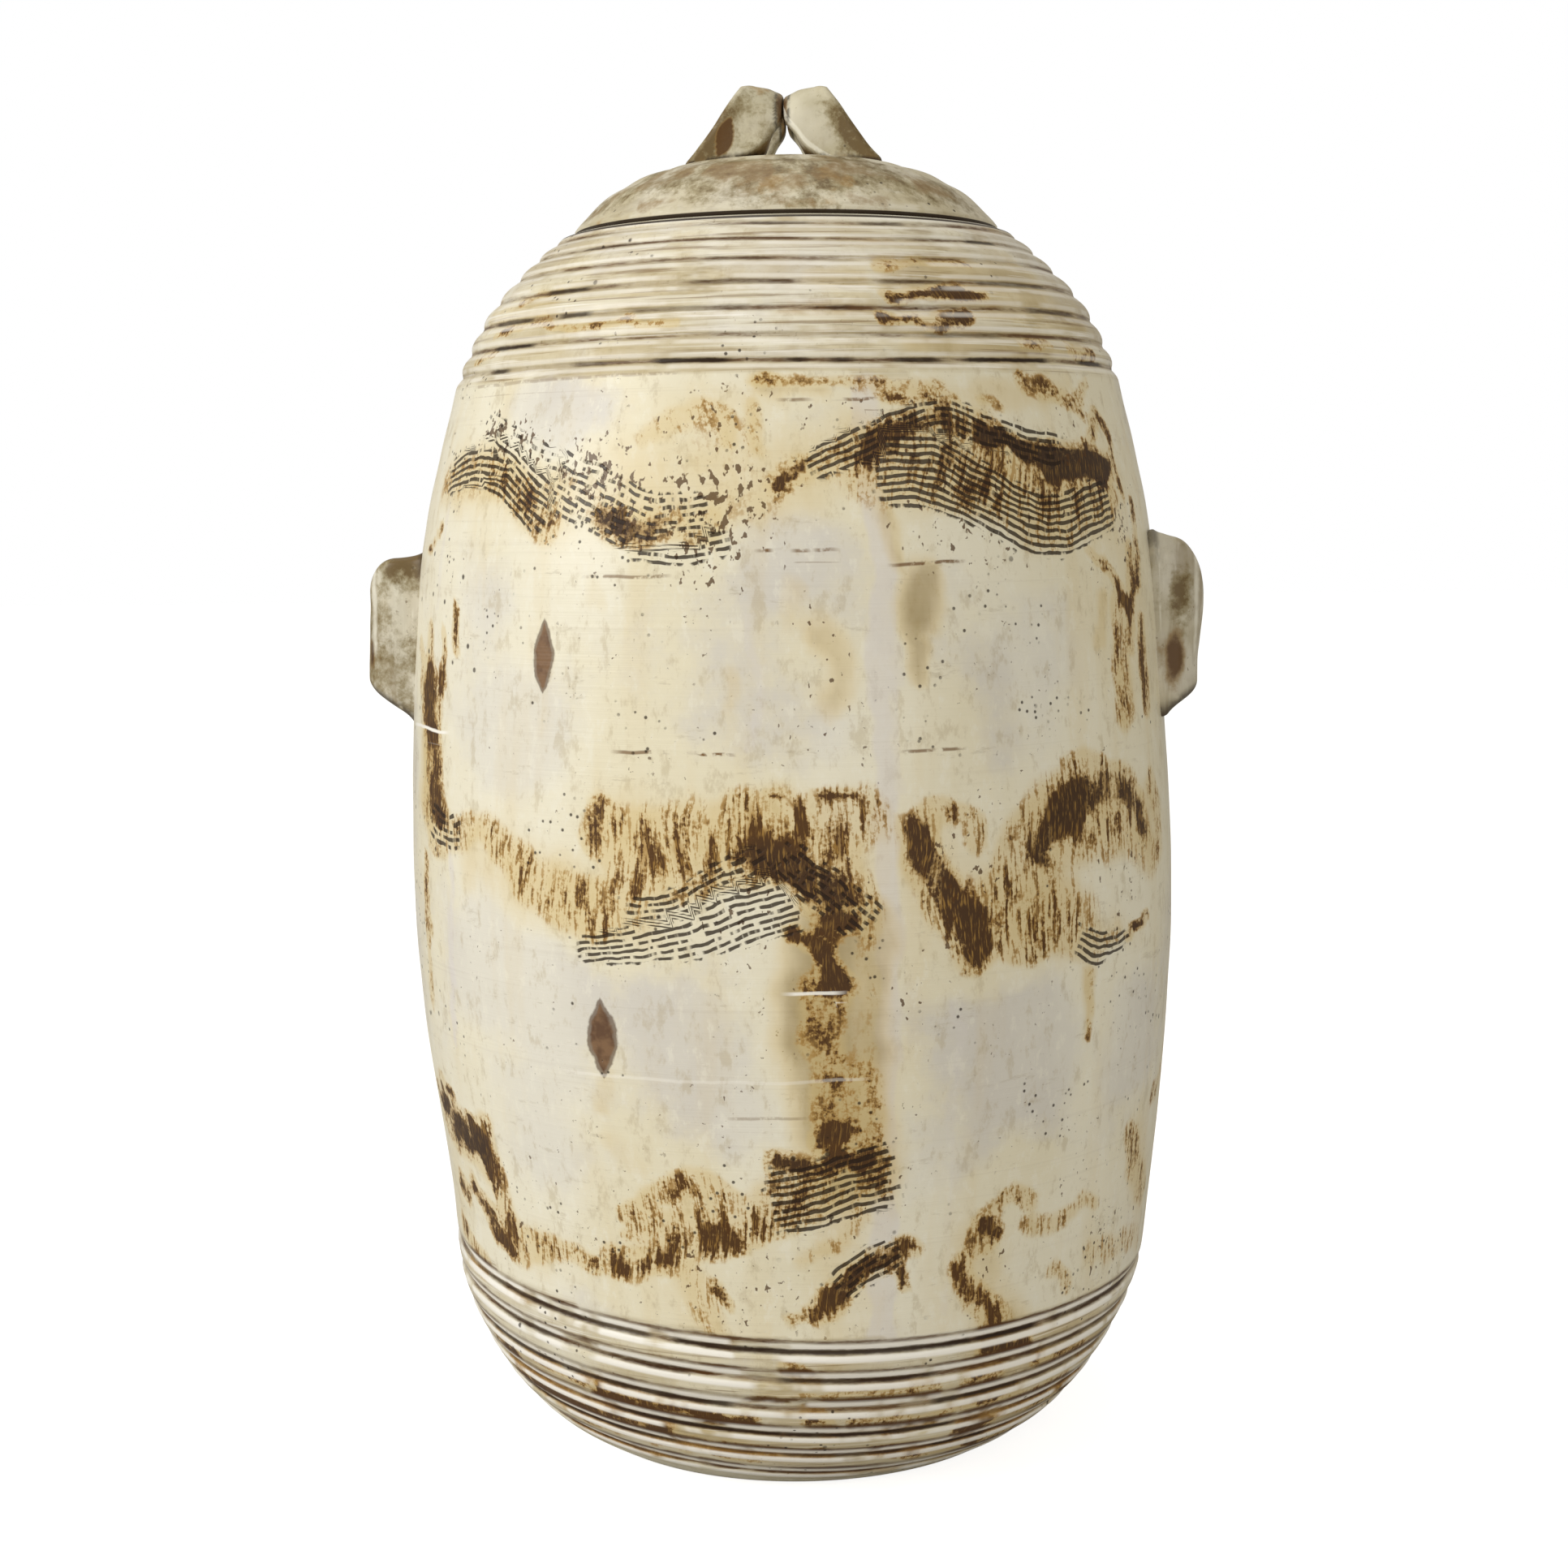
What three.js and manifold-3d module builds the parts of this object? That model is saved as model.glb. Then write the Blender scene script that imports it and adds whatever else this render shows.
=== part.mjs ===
// Covered jar of glazed stoneware: a flat base, a barrel-shaped wall with throwing grooves, a rim coil,
// two strap ears, and a domed lid with a locating flange and a knob of two leaning strap loops.
// Millimetres, +Z up. The origin is the middle of the base, on the surface that the jar stands on.
import * as THREE from "three";
import { mergeVertices } from "three/addons/utils/BufferGeometryUtils.js";
import Module from "manifold-3d";

const wasm = await Module();
wasm.setup();

// Outside of the jar, from the base to the rim: each level's radius, and its rise above the level below
const baseRadius = 79;
const heelRadius = 101;
const heelRise = 17;
const footRadius = 118.9;
const footRise = 31.3;
const flankRadius = 125.7;
const flankRise = 48;
const bellyRadius = 132.9;
const bellyRise = 97;
const chestRadius = 128.6;
const chestRise = 97;
const shoulderRadius = 117.1;
const shoulderRise = 59.7;
const collarRadius = 101.5;
const collarRise = 38.5;
const rimRadius = 76;
const rimRise = 24.5;

// Clay thickness and the flat joints between the base, the wall and the rim coil
const baseThickness = 11;
const baseChamfer = 1.2;
const wallThickness = 8;
const rimCoilHeight = 10;
const rimCoilLedge = 6.5;
const mouthRadius = 61;

// Throwing grooves, as rings with rounded bands between them
const footGroovePitch = 9.8;
const footGrooveCount = 5;
const footGrooveDepth = 1.7;
const shoulderGroovePitch = 6.75;
const shoulderGrooveCount = 7;
const shoulderGrooveDepth = 1.6;

// Lid, with rises above the rim that it rests on
const lidRadius = 72.5;
const lidEdgeThickness = 2;
const lidHipRadius = 58.7;
const lidHipRise = 15.3;
const lidBrowRadius = 44;
const lidBrowRise = 21.8;
const lidRise = 26.1;
const lidThickness = 8;
const flangeThickness = 6;
const flangeDepth = 14;
const flangeClearance = 1.5;

// Ears: wide straps, bent level round a finger gap, deep at the wall and shallower at the tip
const earMiddleHeight = 276.5;
const earRootDepth = 59;
const earTipDepth = 43;
const earTipLift = 4.5;
const earReach = 15.5;
const earSpan = 56;
const earThickness = 7.5;

// Knob: two strap loops that arch from front to back and lean in until they meet
const knobRise = 25.5;
const knobLoopWidth = 18.5;
const knobLoopThickness = 7.5;
const knobLoopSpan = 42;
const knobLean = 36;
const knobCrestTilt = 24;
const knobOuterReach = 15.3;

// Clearance between pieces that are luted or rested together, and how deep a strap's ends are rooted
const clearance = 0.3;
const rootDepth = 9;

// Fineness
const turnedSides = 54;
const rowsPerGroove = 3;
const plainRowStep = 19;
const strapSteps = 16;
const strapSectionPoints = 12;

const creamGlaze = { color: 0xddd2b8, roughness: 0.35, metalness: 0 };
const greyGlaze = { color: 0xb5a68c, roughness: 0.35, metalness: 0 };
const bareClay = { color: 0xa8835f, roughness: 0.85, metalness: 0 };

// Stacks levels of [radius, rise] on a starting height, as points of radius and height
function stacked(levels, start) {
  let height = start;
  return levels.map(([radius, rise]) => {
    height += rise;
    return new THREE.Vector2(radius, height);
  });
}

const jarLevels = stacked([
  [baseRadius, 0],
  [heelRadius, heelRise],
  [footRadius, footRise],
  [flankRadius, flankRise],
  [bellyRadius, bellyRise],
  [chestRadius, chestRise],
  [shoulderRadius, shoulderRise],
  [collarRadius, collarRise],
  [rimRadius, rimRise],
], 0);
const rimHeight = jarLevels.at(-1).y;
const jarCurve = new THREE.SplineCurve(jarLevels).getPoints(400);

// The jar's smooth outside radius at a height
function jarRadius(height) {
  const above = jarCurve.findIndex((point) => point.y > height);
  if (above < 0) return jarCurve.at(-1).x;
  const high = jarCurve[Math.max(above, 1)];
  const low = jarCurve[Math.max(above, 1) - 1];
  return THREE.MathUtils.mapLinear(height, low.y, high.y, low.x, high.x);
}

const grooveBands = [
  { bottom: baseThickness, pitch: footGroovePitch, count: footGrooveCount, depth: footGrooveDepth },
  {
    bottom: rimHeight - shoulderGrooveCount * shoulderGroovePitch,
    pitch: shoulderGroovePitch,
    count: shoulderGrooveCount,
    depth: shoulderGrooveDepth,
  },
];

// The outside radius with the grooves cut in, deepest on a groove and full on the band between two
function groovedRadius(height) {
  for (const { bottom, pitch, count, depth } of grooveBands) {
    const turn = (height - bottom) / pitch;
    if (turn >= 0 && turn <= count) return jarRadius(height) - depth * (1 - Math.abs(Math.sin(Math.PI * turn)));
  }
  return jarRadius(height);
}

// The inside radius, which keeps the wall's thickness square to its slope
function insideRadius(height) {
  const reach = 1;
  const slope = (jarRadius(height + reach) - jarRadius(height - reach)) / (2 * reach);
  return jarRadius(height) - wallThickness * Math.hypot(1, slope);
}

// Heights of the outside's rows: even steps on the plain wall, and every groove and band
function outsideHeights() {
  const [foot, shoulder] = grooveBands;
  const heights = [];
  for (const { bottom, pitch, count } of grooveBands) {
    for (let i = 0; i <= count * rowsPerGroove; i++) heights.push(bottom + (i * pitch) / rowsPerGroove);
  }
  const plainBottom = foot.bottom + foot.pitch * foot.count;
  const plainRows = Math.ceil((shoulder.bottom - plainBottom) / plainRowStep);
  for (let i = 1; i < plainRows; i++) {
    heights.push(THREE.MathUtils.lerp(plainBottom, shoulder.bottom, i / plainRows));
  }
  return heights.sort((a, b) => a - b);
}

const rowHeights = outsideHeights();

// Points up the jar's outside between two heights
function outsideBetween(bottom, top) {
  const leastStep = 0.8;
  const between = rowHeights.filter((height) => height > bottom + leastStep && height < top - leastStep);
  return [bottom, ...between, top].map((height) => new THREE.Vector2(groovedRadius(height), height));
}

// Turns an outline about +Z: it is listed up its outside and down its inside, and closed
function turned(outline) {
  const closed = outline[0].x > 0 || outline.at(-1).x > 0 ? [...outline, outline[0].clone()] : outline;
  return new THREE.LatheGeometry(closed, turnedSides).rotateX(Math.PI / 2);
}

// A geometry as a solid, with its shared vertices merged
function toSolid(geometry) {
  const bare = geometry.clone();
  bare.deleteAttribute("normal");
  bare.deleteAttribute("uv");
  const merged = mergeVertices(bare, 1e-4);
  const mesh = new wasm.Mesh({
    numProp: 3,
    vertProperties: new Float32Array(merged.attributes.position.array),
    triVerts: new Uint32Array(merged.index.array),
  });
  return new wasm.Manifold(mesh);
}

function toGeometry(solid) {
  const mesh = solid.getMesh();
  const geometry = new THREE.BufferGeometry();
  geometry.setAttribute("position", new THREE.BufferAttribute(mesh.vertProperties, 3));
  geometry.setIndex(new THREE.BufferAttribute(mesh.triVerts, 1));
  geometry.computeVertexNormals();
  return geometry;
}

// The flat clay disc that the wall stands on
function jarBase() {
  const edge = outsideBetween(baseChamfer, baseThickness);
  return turned([
    new THREE.Vector2(0, 0),
    new THREE.Vector2(edge[0].x - baseChamfer, 0),
    ...edge,
    new THREE.Vector2(0, baseThickness),
  ]);
}

const wallTop = rimHeight - rimCoilHeight;

// The wall, open at both ends: its flat foot stands on the base and its flat top carries the rim coil
function jarWall() {
  const insideRows = 13;
  const inside = [];
  for (let i = insideRows; i >= 0; i--) {
    const height = THREE.MathUtils.lerp(baseThickness, wallTop, i / insideRows);
    inside.push(new THREE.Vector2(insideRadius(height), height));
  }
  return turned([...outsideBetween(baseThickness, wallTop), ...inside]);
}

// The coil that draws the wall in to the mouth, with the flat ledge that the lid rests on
function mouthRing() {
  return turned([
    ...outsideBetween(wallTop, rimHeight),
    new THREE.Vector2(mouthRadius, rimHeight),
    new THREE.Vector2(mouthRadius, rimHeight - rimCoilLedge),
    new THREE.Vector2(insideRadius(wallTop), wallTop),
  ]);
}

const lidSeat = rimHeight + clearance;
const flangeRadius = mouthRadius - flangeClearance;
const flangeHollow = flangeRadius - flangeThickness;

// Points over the lid from its edge to its middle, lifted by a gap for what stands on it
function lidOutside(lift) {
  const crown = new THREE.SplineCurve([
    new THREE.Vector2(lidRadius, lidEdgeThickness),
    new THREE.Vector2(lidHipRadius, lidHipRise),
    new THREE.Vector2(lidBrowRadius, lidBrowRise),
    new THREE.Vector2(lidBrowRadius / 2, (lidBrowRise + 3 * lidRise) / 4),
    new THREE.Vector2(0, lidRise),
  ]);
  return crown.getPoints(16).map(({ x, y }) => new THREE.Vector2(x, lidSeat + y + lift));
}

// The dome, flat underneath where it rests on the rim and carries the flange, and hollow inside that
function lidDome() {
  const hollowRise = lidRise - lidThickness;
  const inside = new THREE.EllipseCurve(0, lidSeat, flangeHollow, hollowRise, Math.PI / 2, 0, true).getPoints(8);
  const edgeSetBack = 0.8;
  return turned([new THREE.Vector2(lidRadius - edgeSetBack, lidSeat), ...lidOutside(0), ...inside]);
}

// The ring under the lid that keeps it in the mouth, narrowed at its lower edge
function lidFlange() {
  const taper = 1.2;
  const bottom = lidSeat - flangeDepth;
  return turned([
    new THREE.Vector2(flangeRadius - taper, bottom),
    new THREE.Vector2(flangeRadius, bottom + taper),
    new THREE.Vector2(flangeRadius, lidSeat),
    new THREE.Vector2(flangeHollow, lidSeat),
    new THREE.Vector2(flangeHollow, bottom + taper),
    new THREE.Vector2(flangeHollow + taper, bottom),
  ]);
}

// One round-cornered section of a strap, width along across and thickness along outward
function strapSection({ middle, across, outward, width, thickness }) {
  const corner = 0.5;
  const rounded = (value) => Math.sign(value) * Math.abs(value) ** corner;
  const points = [];
  for (let i = 0; i < strapSectionPoints; i++) {
    const angle = (2 * Math.PI * (i + 0.5)) / strapSectionPoints;
    const point = middle.clone();
    point.addScaledVector(across, (rounded(Math.cos(angle)) * width) / 2);
    point.addScaledVector(outward, (rounded(Math.sin(angle)) * thickness) / 2);
    points.push(point);
  }
  return points;
}

// A closed strap through its sections, in order, with a flat cap at each end
function strap(sections) {
  const rings = sections.map(strapSection);
  const count = strapSectionPoints;
  const index = [];
  for (let ring = 0; ring < rings.length - 1; ring++) {
    for (let i = 0; i < count; i++) {
      const next = (i + 1) % count;
      const a = ring * count + i;
      const b = ring * count + next;
      index.push(a, a + count, b, b, a + count, b + count);
    }
  }
  const lastRing = (rings.length - 1) * count;
  for (let i = 1; i < count - 1; i++) {
    index.push(0, i, i + 1);
    index.push(lastRing, lastRing + i + 1, lastRing + i);
  }
  const geometry = new THREE.BufferGeometry().setFromPoints(rings.flat());
  return geometry.setIndex(index);
}

// Stations along a squared-off half turn: how far out each one stands, and where it lies across the span
function arch(span) {
  const squareness = 0.62;
  const stations = [];
  for (let i = 0; i <= strapSteps; i++) {
    const angle = Math.PI * (i / strapSteps - 0.5);
    const out = Math.max(Math.cos(angle), 0) ** squareness;
    const along = Math.sign(Math.sin(angle)) * (Math.abs(Math.sin(angle)) ** squareness * span) / 2;
    stations.push({ out, along, outwardness: Math.max(Math.cos(angle), 0.02), sideways: Math.sin(angle) });
  }
  return stations;
}

// The right ear: front root, tip and back root, cut to the wall with the luting gap between them
function ear() {
  const wall = jarRadius(earMiddleHeight);
  const wallFace = Math.sqrt(wall ** 2 - ((earSpan - earThickness) / 2) ** 2);
  const tipRadius = wall + earReach - earThickness / 2;
  const sections = arch(earSpan - earThickness).map(({ out, along, outwardness, sideways }) => {
    const radius = THREE.MathUtils.lerp(wallFace - rootDepth, tipRadius, out);
    const share = THREE.MathUtils.clamp((radius - wallFace) / (tipRadius - wallFace), 0, 1);
    return {
      middle: new THREE.Vector3(radius, along, earMiddleHeight + earTipLift * share),
      across: new THREE.Vector3(0, 0, -1),
      outward: new THREE.Vector3(outwardness, sideways, 0).normalize(),
      width: THREE.MathUtils.lerp(earRootDepth, earTipDepth, share),
      thickness: earThickness,
    };
  });
  return toGeometry(toSolid(strap(sections)).subtract(wallCutter()));
}

// The wall's outside beside an ear, with the luting gap added
function wallCutter() {
  const reach = earRootDepth;
  const outline = outsideBetween(earMiddleHeight - reach, earMiddleHeight + reach);
  const grown = outline.map(({ x, y }) => new THREE.Vector2(x + clearance, y));
  const axisEnds = [new THREE.Vector2(0, outline[0].y), new THREE.Vector2(0, outline.at(-1).y)];
  return toSolid(turned([axisEnds[0], ...grown, axisEnds[1]]));
}

// The right knob loop, cut to the lid below and to the middle plane where it meets the left one
function knobLoop() {
  const lean = THREE.MathUtils.degToRad(knobLean);
  const crestTilt = THREE.MathUtils.degToRad(knobCrestTilt);
  const up = new THREE.Vector3(-Math.sin(lean), 0, Math.cos(lean));
  const crestBelowTop = (knobLoopWidth * Math.sin(crestTilt) + knobLoopThickness * Math.cos(crestTilt)) / 2;
  const crest = new THREE.Vector3(
    knobOuterReach - (knobLoopWidth / 2) * Math.cos(crestTilt),
    0,
    lidSeat + lidRise + knobRise - crestBelowTop,
  );
  const rise = (crest.z - lidSeat - lidRise + rootDepth) / up.z;
  const root = crest.clone().addScaledVector(up, -rise);
  const sections = arch(knobLoopSpan - knobLoopThickness).map(({ out, along, outwardness, sideways }) => {
    const tilt = THREE.MathUtils.lerp(lean, crestTilt, out ** 2);
    const face = new THREE.Vector3(-Math.sin(tilt), 0, Math.cos(tilt));
    return {
      middle: root.clone().addScaledVector(up, rise * out).setY(along),
      across: new THREE.Vector3(Math.cos(tilt), 0, Math.sin(tilt)),
      outward: face.multiplyScalar(outwardness).setY(sideways).normalize(),
      width: knobLoopWidth,
      thickness: knobLoopThickness,
    };
  });
  return toGeometry(toSolid(strap(sections)).subtract(lidCutter()).subtract(twinCutter()));
}

// The lid's outside under the knob, with the luting gap added
function lidCutter() {
  const crown = lidOutside(clearance).filter(({ x }) => x < lidHipRadius);
  const floor = crown[0].y - rootDepth * 2;
  return toSolid(turned([new THREE.Vector2(0, floor), new THREE.Vector2(crown[0].x, floor), ...crown]));
}

// Everything past the plane where the two knob loops meet
function twinCutter() {
  const size = 4 * knobRise;
  const box = new THREE.BoxGeometry(size, size, size);
  return toSolid(box.translate((clearance - size) / 2, 0, lidSeat + lidRise));
}

function piece(name, geometry, glaze) {
  const mesh = new THREE.Mesh(geometry, new THREE.MeshStandardMaterial(glaze));
  mesh.name = name;
  return mesh;
}

// A left-hand piece is its right-hand twin turned half round the axis
function turnedHalfRound(mesh) {
  mesh.rotation.z = Math.PI;
  return mesh;
}

const jar = new THREE.Group();
jar.add(
  piece("jar_base", jarBase(), creamGlaze),
  piece("jar_wall", jarWall(), creamGlaze),
  piece("mouth_ring", mouthRing(), creamGlaze),
  piece("right_ear", ear(), greyGlaze),
  turnedHalfRound(piece("left_ear", ear(), greyGlaze)),
);

const lid = new THREE.Group();
lid.add(
  piece("lid_dome", lidDome(), creamGlaze),
  piece("lid_flange", lidFlange(), bareClay),
  piece("right_knob_loop", knobLoop(), greyGlaze),
  turnedHalfRound(piece("left_knob_loop", knobLoop(), greyGlaze)),
);

const coveredJar = new THREE.Group();
coveredJar.add(jar, lid);

export default coveredJar;
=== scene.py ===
import math

import bpy
import numpy as np
from mathutils import Matrix, Vector, noise


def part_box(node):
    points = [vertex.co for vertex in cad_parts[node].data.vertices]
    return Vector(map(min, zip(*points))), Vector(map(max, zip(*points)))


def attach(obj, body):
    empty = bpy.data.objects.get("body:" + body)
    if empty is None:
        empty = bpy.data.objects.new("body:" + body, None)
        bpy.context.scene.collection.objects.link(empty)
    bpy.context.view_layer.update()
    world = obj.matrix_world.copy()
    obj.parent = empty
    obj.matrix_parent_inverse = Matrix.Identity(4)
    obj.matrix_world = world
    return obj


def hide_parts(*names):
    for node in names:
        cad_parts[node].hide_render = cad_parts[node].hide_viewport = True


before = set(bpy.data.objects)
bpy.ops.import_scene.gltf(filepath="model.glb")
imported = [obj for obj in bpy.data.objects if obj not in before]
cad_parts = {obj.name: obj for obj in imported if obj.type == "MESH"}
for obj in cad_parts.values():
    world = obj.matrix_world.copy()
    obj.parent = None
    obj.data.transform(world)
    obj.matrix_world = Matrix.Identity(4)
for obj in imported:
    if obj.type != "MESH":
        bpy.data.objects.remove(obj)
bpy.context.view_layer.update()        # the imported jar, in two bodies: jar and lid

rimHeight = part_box("mouth_ring")[1].z
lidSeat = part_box("lid_dome")[0].z
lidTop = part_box("lid_dome")[1].z
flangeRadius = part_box("lid_flange")[1].x
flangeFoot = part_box("lid_flange")[0].z
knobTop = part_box("right_knob_loop")[1].z
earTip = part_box("right_ear")[1].x
mm = 0.001
noise.seed_set(5)        # without a seed, the swells of the clay start from the clock


# Small helpers

def deselectAll():
    if bpy.context.object and bpy.context.object.mode != "OBJECT":
        bpy.ops.object.mode_set(mode="OBJECT")
    bpy.ops.object.select_all(action="DESELECT")


def smoothStep(low, high, value):
    share = np.clip((value - low) / (high - low), 0.0, 1.0)
    return share * share * (3 - 2 * share)


def bell(value, middle, width):
    return np.exp(-((value - middle) / width) ** 2)


# a smooth run of points through a few chosen ones
def smoothRun(points, stepsEach):
    points = np.array(points, float)
    ends = np.vstack([points[0], points, points[-1]])
    run = []
    for a, b, c, d in zip(ends[:-3], ends[1:-2], ends[2:-1], ends[3:]):
        for t in np.linspace(0, 1, stepsEach, endpoint=False):
            run.append(0.5 * (2 * b + (c - a) * t + (2 * a - 5 * b + 4 * c - d) * t * t
                              + (3 * b - a - 3 * c + d) * t ** 3))
    run.append(points[-1])
    return np.array(run)


def getPoints(piece):
    co = np.empty(len(piece.data.vertices) * 3)
    piece.data.vertices.foreach_get("co", co)
    return co.reshape(-1, 3)


def setPoints(piece, points):
    piece.data.vertices.foreach_set("co", np.asarray(points, float).ravel())
    piece.data.update()


def keep(piece, name, values):
    layer = piece.data.attributes.new(name, "FLOAT", "POINT")
    layer.data.foreach_set("value", np.asarray(values, np.float32))


# degrees round from the front, positive to the right
def angleOf(points):
    return np.degrees(np.arctan2(points[:, 0], -points[:, 1]))


# uneven swells of worked clay, three numbers from -1 to 1 for each point
def swells(points, scale, seed):
    shift = Vector((seed * 3.1, seed * 1.7, seed * 2.3))
    return np.array([noise.noise_vector(Vector(p) * scale + shift) for p in points])


# a pot turned from its outline: one point is extruded along it, then spun round the axis
def turnPot(name, outline, sides):
    deselectAll()
    bpy.ops.mesh.primitive_plane_add(size=0.001, location=(0, 0, 0))
    pot = bpy.context.object
    pot.name = name
    bpy.ops.object.mode_set(mode="EDIT")
    bpy.ops.mesh.merge(type="CENTER")
    bpy.ops.transform.translate(value=(outline[0][0], 0, outline[0][1]))
    for (r0, z0), (r1, z1) in zip(outline[:-1], outline[1:]):
        bpy.ops.mesh.extrude_region_move(TRANSFORM_OT_translate={"value": (r1 - r0, 0, z1 - z0)})
    bpy.ops.mesh.select_all(action="SELECT")
    bpy.ops.mesh.spin(steps=sides, angle=2 * math.pi, center=(0, 0, 0), axis=(0, 0, 1))
    bpy.ops.mesh.select_all(action="SELECT")
    bpy.ops.mesh.remove_doubles(threshold=0.00001)
    bpy.ops.mesh.normals_make_consistent(inside=False)
    bpy.ops.object.mode_set(mode="OBJECT")
    bpy.ops.object.shade_smooth()
    return pot


# The jar: base, wall and rim coil fired into one skin

jarShape = {
    "outside": [  # height and radius, in mm
        (0, 79), (8.3, 91.9), (16.3, 100.2), (24.3, 106.5), (32.3, 111.5), (40.3, 115.5), (48.3, 118.9),
        (56.3, 121.2), (64.3, 122.4), (80.3, 123.7), (96.3, 125.4), (112.3, 127.3), (128.3, 129.2),
        (144.3, 130.7), (160.3, 131.7), (176.3, 132.6), (200, 132.8), (224.3, 132.3), (240, 131.6),
        (270, 129.8), (300, 127.5), (315, 125.4), (325, 123.6), (335, 121.2), (345, 118.8), (355, 116),
        (365, 113.3), (374.5, 109.3), (381, 106.1), (387.5, 102.2), (394, 97), (400.7, 90.5), (407, 83.8),
        (410.8, 79.2), (413, 76.2)],
    "wall": 8, "floor": 11, "sides": 360,
    "fineRow": 1.15, "plainRow": 2.7, "plainFrom": 66, "plainTo": 359,      # finer rows where the grooves are
    # grooves: heights at the front, then pitch and depth, how sharp, how far they tilt, how far they dip at the left,
    # and the lip under each
    "shoulder": {"levels": [366, 373.6, 382, 390.4, 398, 404.6, 409.8], "pitch": 7.6, "depth": 1.6, "sharp": 1.2,
                 "climb": 2.4, "dip": 0, "lip": 0},
    "foot": {"levels": [9, 19, 28.5, 39.3, 50.4, 60.6], "pitch": 10, "depth": 1.5, "sharp": 1.4,
             "climb": -13, "dip": 6, "lip": 0.5},
    "bulges": [  # mm out, middle height, spread in height, and the side that it is on
        (0.9, 270, 60, -1), (-0.9, 95, 40, -1), (1.3, 95, 40, 1), (-1.7, 320, 50, 1), (-1.1, 250, 40, 1)],
    "swells": [(0.7, 8, 1), (0.16, 45, 2)],     # mm, waves to a metre, seed
}

outsideRun = smoothRun(jarShape["outside"], 10)


# mm in, mm out
def jarRadius(height):
    return np.interp(height, outsideRun[:, 0], outsideRun[:, 1])


def rowHeights():
    s = jarShape
    heights = [0.9]
    while heights[-1] < rimHeight / mm - 1.2:
        z = heights[-1]
        slope = float(jarRadius(z + 0.5) - jarRadius(z - 0.5))
        step = s["plainRow"] if s["plainFrom"] <= z <= s["plainTo"] else s["fineRow"]
        heights.append(z + step / math.hypot(1, slope))
    return heights


def jarOutline():
    s = jarShape
    top = rimHeight / mm
    outline = [(0, 0), (40, 0), (float(jarRadius(0)) - 1.2, 0), (float(jarRadius(0)) - 0.3, 0.3)]
    outline += [(float(jarRadius(z)), z) for z in rowHeights()]
    rim = float(jarRadius(top))
    outline += [(rim - 0.9, top - 0.2), (rim - 2.2, top), (67, top), (62, top), (61, top - 1), (61, top - 5),
                (62.2, top - 6.6)]
    for z in np.linspace(top - 12, 22, 20):
        slope = float(jarRadius(z + 1) - jarRadius(z - 1)) / 2
        outline.append((float(jarRadius(z)) - s["wall"] * math.hypot(1, slope), float(z)))
    outline += [(84, s["floor"] + 3), (76, s["floor"]), (38, s["floor"]), (0, s["floor"])]
    return [(r * mm, z * mm) for r, z in outline]


# which groove a point is on, as a running count with the grooves, a little askew, at its whole numbers; whether it is
# among them; and how deep they cut there
def grooves(height, angle, g):
    wobble = 0.45 * np.sin(np.radians(angle * 2 + 40)) + 0.3 * np.sin(np.radians(angle * 5))
    tilt = g["climb"] * np.sin(np.radians(angle)) / (2 * math.pi)
    levels = g["levels"]
    marks = [levels[0] - g["pitch"]] + levels + [levels[-1] + g["pitch"]]
    turn = np.interp(height - tilt + wobble - g["dip"] * bell(angle, -75, 45), marks, np.arange(-1, len(levels) + 1))
    among = (turn > -0.5) & (turn < len(levels) - 0.5)
    cut = (1 - np.abs(np.sin(np.pi * turn))) ** g["sharp"] * g["depth"]
    return turn, among, np.where(among, cut - g["lip"] * bell(turn - np.round(turn), -0.2, 0.11), 0)


# gives the turned skin its finger grooves and the small swells of a hand-made pot
def throwJar(jar):
    s = jarShape
    points = getPoints(jar)
    radius = np.hypot(points[:, 0], points[:, 1]) / mm
    height = points[:, 2] / mm
    angle = angleOf(points)
    outer = (radius > jarRadius(height) - 0.6) & (height > 0.5)
    shoulder, shoulderOn, shoulderCut = grooves(height, angle, s["shoulder"])
    foot, footOn, footCut = grooves(height, angle, s["foot"])
    cut = shoulderCut + footCut
    out = sum(size * swells(points, scale, seed)[:, 0] for size, scale, seed in s["swells"])
    aside = np.sin(np.radians(angle))
    for size, middle, spread, side in s["bulges"]:
        out += size * bell(height, middle, spread) * smoothStep(0.2, 1, side * aside)
    moved = np.where(outer, out * smoothStep(0, 12, height) - cut * smoothStep(0, 6, height), 0)
    moved *= smoothStep(rimHeight / mm + 1, rimHeight / mm - 4, height)
    scale = np.where(radius > 1, (radius + moved) / np.maximum(radius, 1), 1)
    points[:, 0] *= scale
    points[:, 1] *= scale
    setPoints(jar, points)
    keep(jar, "grooveZone", np.where(outer & (shoulderOn | footOn), 1, 0))
    keep(jar, "grooveTurn", np.where(height > 200, shoulder, foot))
    keep(jar, "footZone", np.where(outer & footOn, 1, 0))
    keep(jar, "seam", np.where(outer, smoothStep(rimHeight / mm - 1.7, rimHeight / mm - 0.9, height), 0))
    return outer, height, angle


# The decoration. Each stroke is a path of (degrees from the front, height in mm), then its width in mm, how strong
# it is, how far it breaks into hair-like streaks, and how black it is

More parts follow.
